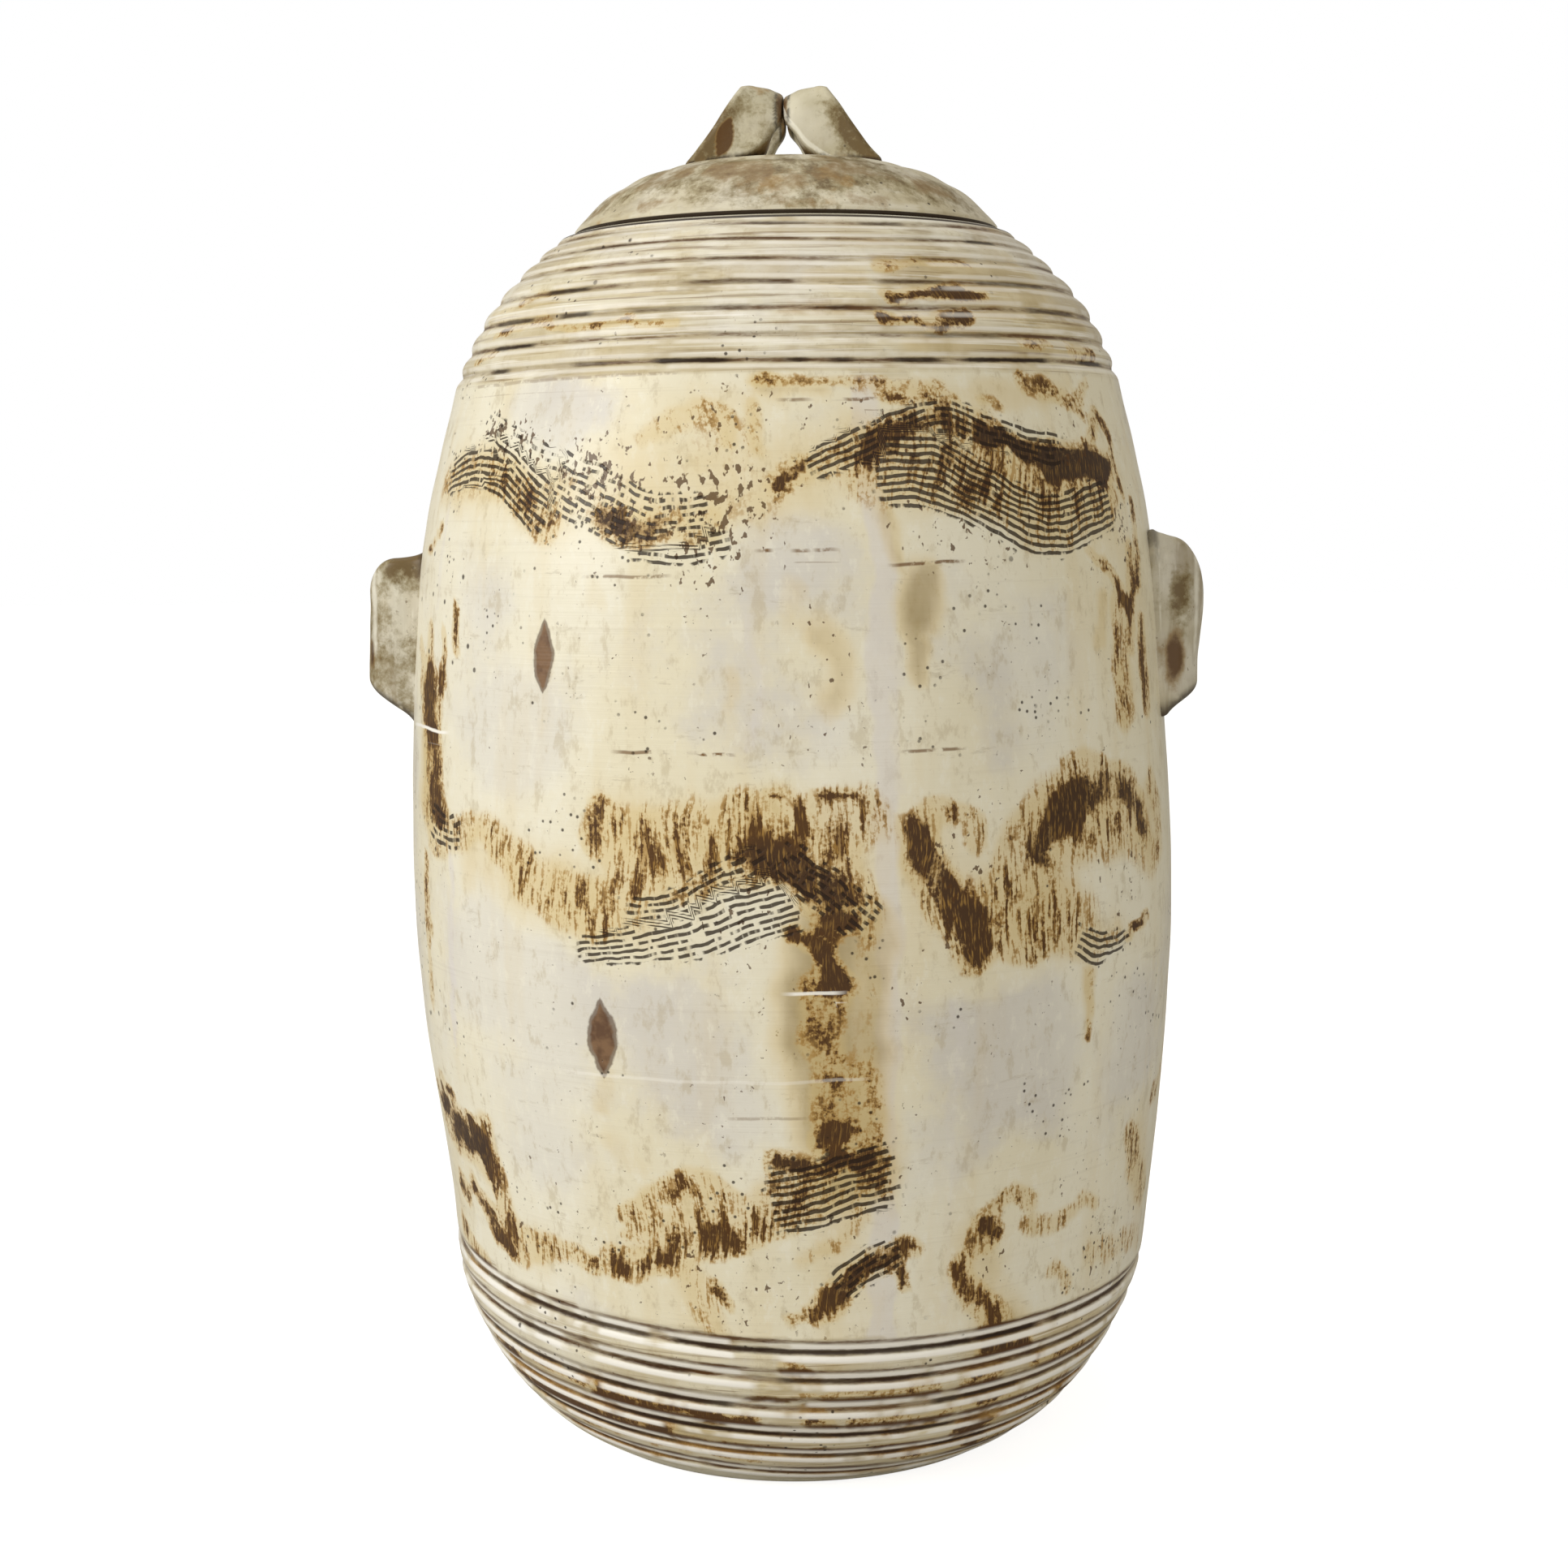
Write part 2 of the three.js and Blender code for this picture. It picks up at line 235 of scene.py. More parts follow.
washStrokes = [
    # upper band, left
    ([(-63, 331), (-55, 333), (-48, 332), (-41, 327), (-35, 321)], 20, 0.36, 0.3, 0),
    ([(-44, 329), (-39, 325), (-33, 318)], 14, 0.66, 0.5, 0.2),
    ([(-33, 331), (-27, 325), (-21, 319)], 18, 0.28, 0.3, 0.4),
    ([(-23, 318), (-16, 315), (-9, 316)], 13, 0.64, 0.2, 0.9),
    ([(-18, 344), (-13, 350), (-9, 350), (-5, 345)], 8, 0.46, 0.5, 0),
    ([(-13, 340), (-5, 338), (1, 334)], 20, 0.22, 0.5, 0.2),
    ([(-15, 322), (-7, 322), (0, 320)], 18, 0.26, 0.3, 0.3),
    ([(0.5, 327), (4, 333)], 7, 1, 0.2, 0.5),
    ([(-2, 352), (-1, 341)], 8, 0.40, 0.4, 0),
    # upper band, right
    ([(5, 331), (11, 337), (17, 343)], 13, 0.42, 0.3, 0.2),
    ([(17, 345), (25, 348), (33, 345.5)], (9, 13), 0.86, 0.6, 0.4),
    ([(15, 333), (20, 334), (26, 331), (31, 326)], (26, 22), 0.58, 0.6, 0.2),
    ([(15.5, 338), (20, 339), (26, 338)], 16, 0.62, 0.6, 0.4),
    ([(31, 327), (36, 320), (42, 316), (50, 316), (58, 320)], (22, 14), 0.48, 0.7, 0),
    ([(34, 338), (38, 331), (43, 324)], 17, 0.60, 1, 0.1),
    ([(33, 345), (40, 341), (47, 338), (54, 336), (60, 334)], (8, 12), 1, 0.15, 1),
    ([(45, 333), (52, 331), (58, 331)], 10, 1, 0.15, 1),
    ([(44, 326), (52, 323), (60, 324)], 12, 0.50, 0.8, 0.2),
    ([(55, 340), (58, 348), (61, 350), (63, 340), (64, 325)], 4, 0.85, 0.5, 0.3),
    ([(69, 322), (67.5, 310), (66, 297)], 6, 0.90, 0.3, 0.4),
    ([(51, 306), (56, 300), (62, 288)], (4, 7), 0.92, 0.4, 0.3),
    ([(64, 306), (63, 292), (62, 276)], 10, 0.85, 0.5, 0.3),
    ([(68, 284), (67.5, 270), (66.5, 256)], 9, 0.80, 0.6, 0.3),
    ([(57.5, 290), (58, 272), (58, 255)], 13, 0.60, 0.7, 0.1),
    ([(18, 354.6), (25, 354)], 4, 0.85, 0.1, 0.1),
    ([(17, 358.5), (22, 358), (27, 357)], 7, 0.46, 0.1, 0),
    ([(42, 361), (49, 357), (56, 352)], 6, 0.60, 0.2, 0.1),
    ([(56, 356), (60, 359)], 5, 0.55, 0.2, 0.1),
    ([(28, 354), (37, 353.5)], 2.5, 0.70, 0.1, 0.2),
    # beside the left ear and the left of the middle band
    ([(-68, 309), (-65, 312), (-62, 317)], 4, 0.85, 0.2, 0.4),
    ([(-63.5, 284), (-63, 268)], 8, 0.62, 0.6, 0.2),
    ([(-64, 266), (-61, 254), (-60, 240), (-59, 226)], 19, 0.85, 0.6, 0.4),
    ([(-64, 262), (-61, 256), (-60, 248)], 8, 1, 0.3, 0.6),
    ([(-62, 236), (-59, 228), (-58, 222)], 6, 0.95, 0.3, 0.5),
    ([(-63, 224), (-58, 221), (-51, 219)], 15, 0.50, 0.6, 0.5),
    ([(-62, 213), (-56, 212)], 7, 0.52, 0.6, 0.5),
    ([(-64, 206), (-63, 195), (-63, 184)], 7, 0.66, 0.4, 0.2),
    ([(-64, 182), (-65, 170), (-66, 156)], 4, 0.50, 0.2, 0.1),
    ([(-58, 282), (-58, 262)], 5, 0.90, 0.4, 0.3),
    ([(-54.5, 290), (-53.5, 278)], 5, 0.95, 0.4, 0.3),
    ([(-70, 280), (-67, 274)], 6, 0.66, 0.2, 0.1),
    # the fringe that leads into the middle band
    ([(-50, 221), (-45, 221), (-40, 216), (-35, 208), (-30, 204), (-25, 201)], (11, 23), 0.50, 1, 0.1),
    ([(-30, 200), (-24, 197), (-18, 200)], 15, 0.34, 1, 0.1),
    ([(-25, 222), (-23, 231)], 10, 0.80, 0.5, 0.3),
    # middle band, left block
    ([(-21, 222), (-13, 226), (-6, 228), (2, 229), (11.5, 228)], 20, 0.66, 1, 0.1),
    ([(-20, 213), (-10, 217), (0, 222), (10, 222)], 16, 0.58, 1, 0.1),
    ([(0, 235), (11, 235.5)], 3, 0.80, 0.3, 0.3),
    ([(-24, 205), (-14, 208), (-4, 213), (9, 213)], 13, 0.34, 0.8, 0),
    ([(-1, 219), (4, 212), (8, 204)], 15, 1, 0.5, 0.7),
    ([(9, 216), (12, 206), (13, 195)], 10, 0.46, 0.9, 0.2),
    ([(-14, 207), (-8, 208), (-2, 214)], 10, 0.40, 0.4, 0.3),
    # middle band, right
    ([(19, 219), (21, 229), (26, 230), (28, 222)], 9, 0.62, 0.8, 0.1),
    ([(19, 222), (21, 212), (24, 200), (28, 188)], 15, 0.84, 1, 0.5),
    ([(21, 218), (24, 206), (27, 198)], 10, 0.96, 0.8, 0.6),
    ([(27, 200), (33, 197), (38, 196), (43, 194)], 27, 0.52, 1, 0),
    ([(29, 188), (35, 184), (41, 186)], 7, 0.55, 1, 0.2),
    ([(33, 208), (36, 218), (40, 228)], 20, 0.62, 1, 0.3),
    ([(38, 214), (41, 224), (45, 233)], 13, 0.88, 0.6, 0.8),
    ([(44, 226), (49, 233), (55, 233), (60, 226), (63, 216)], (21, 12), 0.88, 0.7, 0.8),
    ([(45, 218), (51, 222), (58, 216)], 14, 0.50, 1, 0.1),
    ([(43, 240), (49, 244), (55, 240)], 7, 0.50, 1, 0.1),
    ([(42, 212), (50, 215), (58, 212), (66, 206)], 17, 0.38, 1, 0),
    ([(57, 182), (60, 184), (63, 187)], 4, 1, 0.1, 0.7),
    ([(44, 185), (50, 184), (54, 186)], 12, 0.34, 0.5, 0.2),
    ([(67, 229), (70, 219), (70, 209)], 14, 0.46, 0.6, 0.1),
    # the long drip
    ([(2, 196), (4.5, 192)], 7, 0.98, 0.2, 0.4),
    ([(7, 197), (10, 197)], 7, 0.95, 0.3, 0.4),
    ([(5, 193), (8, 192)], 6, 0.50, 0.2, 0.1),
    ([(6.5, 189), (8.5, 181)], 9, 1, 0.2, 0.5),
    ([(7, 178), (7.2, 158), (7, 137)], 14, 0.66, 0.3, 0.2),
    ([(6, 166), (6.5, 158)], 8, 0.55, 0.2, 0.2),
    ([(12, 190), (12.5, 168), (12.5, 150)], 9, 0.26, 0.5, 0),
    ([(7.5, 146), (7.5, 126)], 14, 0.62, 0.4, 0.1),
    ([(12.5, 149), (13, 138), (13, 125)], 14, 0.60, 0.4, 0.1),
    ([(5.5, 131), (9.5, 132)], 8, 1, 0.2, 0.5),
    ([(0.5, 124), (3, 124)], 9, 1, 0.2, 0.7),
    ([(6, 122), (12, 122)], 8, 0.85, 0.3, 0.4),
    ([(0, 112), (6, 114), (14, 117)], 18, 0.62, 0.5, 0.3),
    ([(48, 177), (48.5, 163)], 4, 0.52, 0.2, 0),
    ([(48.5, 160), (49, 153)], 5, 0.52, 0.2, 0),
    # lower band, left
    ([(-67, 120), (-60, 117), (-53, 113)], (26, 22), 0.84, 0.1, 1),
    ([(-67, 129), (-60, 130)], 3.5, 1, 0.1, 0.6),
    ([(-54, 125), (-51, 112), (-50, 99)], 5, 1, 0.2, 0.6),
    ([(-50, 120), (-48, 106), (-46, 94), (-43, 84)], 15, 0.66, 0.8, 0.1),
    ([(-57, 96), (-52, 90), (-47, 81)], 8, 1, 0.2, 0.5),
    ([(-63, 95), (-60, 91)], 8, 0.90, 0.2, 0.6),
    ([(-49, 88), (-42, 86), (-36, 86), (-30, 84)], (16, 9), 0.56, 0.9, 0.1),
    ([(-30, 84), (-24, 83)], 6, 0.34, 0.9, 0),
    ([(-66, 80), (-61, 76), (-56, 72)], 9, 0.60, 0.8, 0.3),
    ([(-64, 68), (-58, 66)], 6, 0.60, 0.8, 0.3),
    # lower band, middle
    ([(-21, 104), (-17, 112), (-11, 115), (-5, 108), (-3, 104)], 10, 0.78, 0.9, 0.1),
    ([(-19, 101), (-12, 105), (-6, 103)], 8, 0.46, 0.9, 0),
    ([(-26, 86), (-18, 88), (-12, 95), (-7, 99)], 11, 0.86, 0.9, 0.3),
    ([(-22, 96), (-14, 100), (-7, 103)], 7, 0.46, 0.9, 0),
    ([(-14, 86), (-11, 76), (-9, 68)], 15, 0.36, 0.9, 0),
    ([(-9, 82), (-6, 78)], 5, 0.80, 0.5, 0.4),
    ([(-7, 96), (-2, 100), (2, 104)], 7, 0.55, 0.6, 0.1),
    ([(6, 73), (10, 81), (13, 87)], 11, 0.88, 0.7, 0.3),
    ([(12, 84), (15, 89), (19, 95)], 9, 0.90, 0.7, 0.3),
    ([(8, 78), (12, 84)], 9, 1, 0.4, 0.5),
    ([(1, 72), (5, 73)], 4, 0.70, 0.3, 0.4),
    ([(4, 92), (9, 98), (12, 104)], 8, 0.40, 0.8, 0),
    ([(18, 86), (18.4, 80)], 4, 0.95, 0.1, 0.8),
    # lower band, right
    ([(29, 90), (31, 100), (35, 106), (39, 102)], 8, 0.62, 0.9, 0.1),
    ([(31, 99), (32.5, 93)], 8, 0.90, 0.5, 0.4),
    ([(38, 95), (44, 93), (49, 97), (54, 95)], 8, 0.50, 0.9, 0),
    ([(27, 86), (29, 76), (33, 62)], 11, 0.78, 0.8, 0.1),
    ([(30, 74), (35, 66)], 10, 0.46, 0.6, 0.1),
    ([(63, 112), (67, 100), (72, 88)], 15, 0.50, 0.8, 0.1),
    ([(72, 120), (78, 126)], 10, 0.50, 0.5, 0.3),
    ([(52, 78), (62, 74), (72, 71)], 13, 0.34, 0.9, 0),
    ([(44, 76), (47, 70)], 7, 0.50, 0.8, 0.2),
    # foot
    ([(-59, 42), (-52, 40)], 6, 1, 0.1, 0.7),
    ([(-32, 36), (-24, 35.5), (-14, 35), (-5, 34.5)], 8, 0.98, 0.2, 0.1),
    ([(-56, 33), (-44, 29), (-32, 26), (-20, 24)], 15, 0.92, 0.2, 0.2),
    ([(-16, 21), (-6, 20), (8, 19)], 7, 0.80, 0.2, 0.2),
    ([(-48, 44), (-36, 42), (-24, 43)], 5, 0.60, 0.2, 0.1),
    ([(-50, 16), (-30, 13), (-8, 13)], 5, 0.70, 0.2, 0.1),
    ([(5, 35), (8, 29)], 9, 0.88, 0.2, 0.3),
    ([(1, 56), (4, 51)], 8, 0.80, 0.2, 0.2),
    ([(8, 46), (16, 45), (24, 44)], 9, 0.62, 0.3, 0.2),
    ([(12, 33), (20, 31), (28, 33)], 7, 0.72, 0.3, 0.2),
    ([(44, 46), (54, 42), (66, 38)], 10, 0.66, 0.3, 0.2),
    ([(42, 30), (54, 27), (66, 24)], 12, 0.82, 0.3, 0.3),
    ([(16, 20), (28, 17), (50, 15)], 8, 0.80, 0.2, 0.2),
    ([(32, 54), (40, 53)], 7, 0.95, 0.2, 0.6),
    ([(32, 43), (35, 32), (36, 21)], (18, 22), 0.80, 0.3, 0.3),
    ([(31, 37), (40, 38)], 7, 0.95, 0.2, 0.5),
    ([(32, 24), (40, 24)], 6, 0.95, 0.2, 0.5),
    ([(-5, 43), (20, 42.5)], 3.5, 0.55, 0.1, 0.2),
    # brown smears on the shoulder
    ([(19, 396), (29, 396.5), (39, 395.5)], 4.5, 0.66, 0.1, 0.2),
    ([(20, 387), (29, 386.5), (39, 386.5)], 4.5, 0.98, 0.1, 0.5),
    ([(19, 379.5), (26, 379), (34, 379.5)], 5, 0.92, 0.1, 0.5),
    ([(-60, 378), (-40, 379), (-15, 378.5)], 3.5, 0.62, 0.1, 0.1),
    ([(-55, 388), (-44, 389)], 4, 0.55, 0.1, 0.2),
    ([(57, 370), (66, 369)], 5, 0.75, 0.1, 0.4),
    ([(44, 370), (52, 370)], 4, 0.60, 0.1, 0.2),
    ([(-3, 361), (10, 361.5), (18, 361)], 4, 0.60, 0.2, 0.1),
    ([(-64, 370), (-56, 371)], 4, 0.60, 0.1, 0.3),
]

# a comb's drag: the path of its middle, width in mm, tooth pitch in mm, strength and how broken the lines are
combStrokes = [
    ([(-63, 332), (-55, 335.5), (-48, 335), (-41, 331)], 12, 2.2, 0.95, 0.35),
    ([(-51, 340), (-45, 335), (-40, 330), (-33, 321)], 18, 2.2, 0.95, 0.35),
    ([(-53, 350), (-43, 342), (-30, 335)], 9, 2.4, 0.8, 0.9),
    ([(-34, 333), (-28, 327), (-22, 322), (-16, 317), (-8, 319)], (20, 17), 2.3, 0.95, 0.75),
    ([(-20, 311), (-12, 309), (-5, 313)], 9, 2.3, 0.8, 0.6),
    ([(5, 332), (11, 338), (19, 345)], (9, 13), 2.4, 0.95, 0.3),
    ([(16, 344), (26, 348), (34, 344.5), (42, 341), (50, 338)], 11, 2.2, 0.9, 0.55),
    ([(15, 332), (20, 333.5), (25, 331.5), (30, 326), (36, 319.5), (42, 316), (48, 316), (54, 318.5), (60, 323)],
     (24, 15), 2.2, 1, 0.18),
    ([(-28, 187), (-20, 190), (-12, 194), (-4, 201), (3, 206)], (8, 22), 2.1, 1, 0.5),
    ([(-20, 200), (-12, 203), (-5, 210), (0, 217)], (9, 15), 2.3, 1, 0.62),
    ([(1, 219), (4, 213), (8, 206), (13, 196)], 14, 2.1, 0.95, 0.72),
    ([(45, 186), (48, 183), (52, 182), (58, 182)], (12, 4), 2.2, 0.95, 0.2),
    ([(-1, 110), (6, 113), (12, 115.5), (17, 118)], (22, 19), 2.4, 1, 0.3),
    ([(8, 80), (12, 87), (18, 94)], 13, 2.3, 0.7, 0.6),
    ([(-62, 222), (-55, 219), (-50, 220)], 13, 2.6, 0.6, 0.7),
]

# smooth stains that soaked in round the washes: path, width in mm, strength
stains = [
    ([(-1, 360), (8, 358)], 9, 0.60), ([(-2, 352), (-1, 341)], 9, 0.40), ([(16.7, 321), (16.7, 309)], 8, 0.55),
    ([(21, 302), (21, 291)], 16, 0.75), ([(20, 291), (20, 270)], 7, 0.60), ([(7, 284), (10, 276), (8, 264)], 14, 0.50),
    ([(3, 298), (3, 286)], 8, 0.32), ([(-6, 273), (-6, 264)], 7, 0.36), ([(-24, 300), (-24, 292)], 9, 0.36),
    ([(53, 292), (52, 276)], 7, 0.50), ([(58, 268), (58, 252)], 8, 0.45), ([(12.5, 198), (12.5, 150)], 18, 0.85),
    ([(7.5, 198), (8, 136)], 32, 0.95), ([(9, 150), (10, 120)], 36, 0.85), ([(-24, 146), (-24, 138)], 9, 0.42),
    ([(-23, 128), (-21, 121)], 10, 0.36), ([(-33, 268), (-33, 255)], 7, 0.34), ([(48, 178), (48.5, 152)], 7, 0.42),
    ([(9, 100), (10, 78), (9, 62)], 30, 0.30), ([(-10, 106), (-14, 88), (-9, 68)], 26, 0.24),
    ([(30, 92), (31, 74), (34, 60)], 24, 0.38), ([(-50, 104), (-44, 88), (-34, 84)], 24, 0.30),
    ([(-62, 250), (-62, 224)], 22, 0.46), ([(-46, 214), (-32, 204), (-20, 198)], 30, 0.42),
    ([(-18, 224), (-4, 222), (10, 214)], 34, 0.46), ([(22, 216), (28, 200), (40, 196)], 36, 0.46),
    ([(40, 222), (52, 226), (64, 214)], 30, 0.42), ([(-60, 332), (-44, 330), (-30, 322)], 28, 0.34),
    ([(-22, 326), (-8, 330), (4, 332)], 40, 0.40), ([(14, 338), (30, 334), (44, 326), (60, 328)], 38, 0.42),
    ([(62, 306), (64, 286), (60, 262)], 20, 0.46), ([(66, 110), (72, 86)], 26, 0.42),
    ([(-20, 354), (6, 352)], 12, 0.22), ([(18, 356), (54, 357)], 11, 0.36), ([(8, 58), (10, 42)], 16, 0.40),
    ([(34, 58), (36, 18)], 34, 0.62), ([(-52, 34), (-8, 28)], 26, 0.62), ([(0, 24), (60, 26)], 30, 0.40),
    ([(24, 373), (62, 372)], 15, 0.62), ([(22, 393), (56, 391)], 17, 0.66), ([(32, 384), (66, 379)], 12, 0.60),
    ([(-12, 391), (16, 390)], 11, 0.40), ([(-66, 385), (-44, 384)], 12, 0.55), ([(40, 26), (68, 22)], 24, 0.75),
    ([(-2, 46), (26, 44)], 12, 0.45), ([(44, 48), (70, 40)], 26, 0.75), ([(58, 182), (52, 188), (44, 186)], 16, 0.34),
]

# spatter: middle in degrees and mm, half width and half height in mm, strength
spatter = [
    (-8, 322, 30, 26, 1.2), (-26, 330, 24, 16, 1.3), (-44, 343, 24, 10, 1.3), (30, 326, 40, 28, 0.6),
    (62, 312, 9, 15, 1), (-8, 345, 24, 12, 0.5), (-62, 240, 10, 24, 0.6), (-60, 218, 14, 10, 0.7),
    (0, 204, 34, 22, 0.6), (25, 206, 16, 26, 0.8), (56, 206, 24, 22, 0.5), (52, 332, 22, 18, 0.6),
    (-5, 88, 30, 24, 0.5), (60, 78, 24, 20, 0.6), (8, 168, 12, 30, 0.4), (12, 112, 22, 20, 0.5),
    (-38, 86, 26, 10, 0.5), (6, 270, 16, 26, 0.45), (18, 172, 8, 16, 0.6), (10, 352, 44, 8, 0.5), (32, 80, 12, 24, 0.6),
]

# greyer, thicker slip between the bands: middle in degrees and mm, half width and half height in mm, strength
coolPatches = [
    (-34, 352, 34, 14, 1), (-46, 298, 22, 26, 0.5), (-36, 252, 26, 30, 0.9), (-6, 262, 26, 22, 0.5),
    (-38, 172, 40, 26, 1), (-12, 158, 30, 30, 0.9), (-40, 128, 26, 24, 0.8), (-8, 138, 26, 18, 0.8),
    (34, 152, 46, 34, 1), (58, 150, 26, 36, 0.8), (26, 126, 26, 20, 0.8), (34, 262, 22, 26, 0.5),
    (4, 306, 26, 14, 0.4), (56, 120, 20, 18, 0.5), (4, 250, 20, 14, 0.6), (-6, 186, 14, 10, 0.6), (-4, 60, 30, 10, 0.5),
    (-20, 374, 60, 12, 0.6), (14, 392, 50, 14, 0.7),
]

# pale runs where the slip lies thick: path, width in mm, strength
paleRuns = [
    ([(15, 360), (15, 300), (15, 230), (15.5, 170), (15.5, 100), (15, 60)], 9, 0.8),
    ([(17.5, 300), (17, 236)], 5, 0.5), ([(-2, 292), (-2, 250)], 5, 0.4), ([(24, 170), (25, 110), (25, 70)], 6, 0.4),
    ([(-60, 330), (-61, 290)], 6, 0.5), ([(-54, 212), (-55, 150)], 5, 0.5),
]

# dark iron caught in the grooves: from degrees, to degrees, height in mm, strength
grooveDashes = [
    (-18, -6, 366, 1), (3, 6, 366, 0.9), (10, 13, 366, 0.9), (20, 27, 366, 0.9), (32, 50, 366, 1), (60, 70, 366, 1),
    (-55, -50, 366, 0.9), (-33, -27, 366, 0.5), (-58, -45, 374, 1), (-62, -48, 383, 0.8), (-40, -33, 382.5, 0.9),
    (-47, -36, 391, 0.9), (10, 13, 383, 0.6), (20, 32, 391, 0.5), (-12, 0, 398, 0.3), (45, 55, 404.6, 0.9),
    (-5, 8, 409.8, 0.6), (20, 30, 409.8, 0.6), (-60, -20, 24, 0.8), (-30, 0, 29, 0.9), (-16, 30, 60.6, 0.95),
    (30, 42, 60.6, 1), (0, 24, 50.4, 0.8), (-55, -38, 53, 0.8), (-40, -8, 41, 0.9), (0, 30, 28.5, 0.9),
    (25, 42, 39.3, 0.9), (-60, -20, 64, 0.8), (28, 40, 19, 0.9), (0, 22, 19, 0.6), (40, 70, 50.4, 0.5),
    (-60, -40, 45, 0.9), (45, 70, 60, 0.6), (-36, -14, 50, 0.6), (44, 68, 39, 0.5), (-46, -30, 404.6, 0.5),
    (26, 40, 374, 0.5), (-24, -4, 382, 0.4), (50, 66, 382, 0.6), (-14, 4, 390.4, 0.4), (40, 60, 391, 0.6),
]

# spots where the slip was left off: middle in degrees and mm, half width and half height in mm
bareSpots = [(-33, 277, 3.9, 11.5), (-24, 160, 5.2, 12.5)]

# thin level cracks, and pale ones as minus: from degrees, to degrees, height in mm, strength
hairCracks = [(-21, -14, 249, 0.8), (-10, -5, 248.6, 1), (18, 26, 248.4, 0.8), (-26, -14, 301.5, 0.7),
              (-1, 1.5, 309, 1), (3.5, 9, 309, 0.8), (17, 27, 304.5, 0.9), (-72, -55, 250.5, -1),
              (2, 9, 176.5, -0.9), (-30, 12, 148, -0.3), (2, 6, 353.5, 0.7), (10, 18, 353.5, 0.8),
              (-60, -14, 361.5, 0.4), (-6, 4, 137, 0.4)]

wallRound = 130        # mm, turns degrees into a distance round the wall
# how an uneven hand bends the strokes: waves to a metre, then mm round the wall and mm up it
coarseBend = (42, 3.8, 3.4)
fineBend = (120, 2.4, 2.4)


# along, across and inside of a stroke for points on the unrolled wall, in mm; a width may be (first, last)
def strokeField(along, up, path, width):
    line = smoothRun([(math.radians(a) * wallRound, h) for a, h in path], 9)
    start, step = line[:-1], np.diff(line, axis=0)
    length = np.maximum(np.hypot(step[:, 0], step[:, 1]), 1e-6)
    before = np.concatenate([[0], np.cumsum(length)[:-1]])
    dx, dy = along[:, None] - start[None, :, 0], up[:, None] - start[None, :, 1]
    t = (dx * step[:, 0] + dy * step[:, 1]) / length ** 2
    held = np.clip(t, 0, 1)
    distance = np.hypot(dx - held * step[:, 0], dy - held * step[:, 1])
    near = distance.argmin(axis=1)
    row = np.arange(len(along))
    across = (step[near, 0] * dy[row, near] - step[near, 1] * dx[row, near]) / length[near]
    run = before[near] + t[row, near] * length[near]
    whole = before[-1] + length[-1]
    if isinstance(width, tuple):
        width = width[0] + (width[1] - width[0]) * np.clip(run / whole, 0, 1)
    return run, across, 1 - distance[row, near] / (width / 2), whole


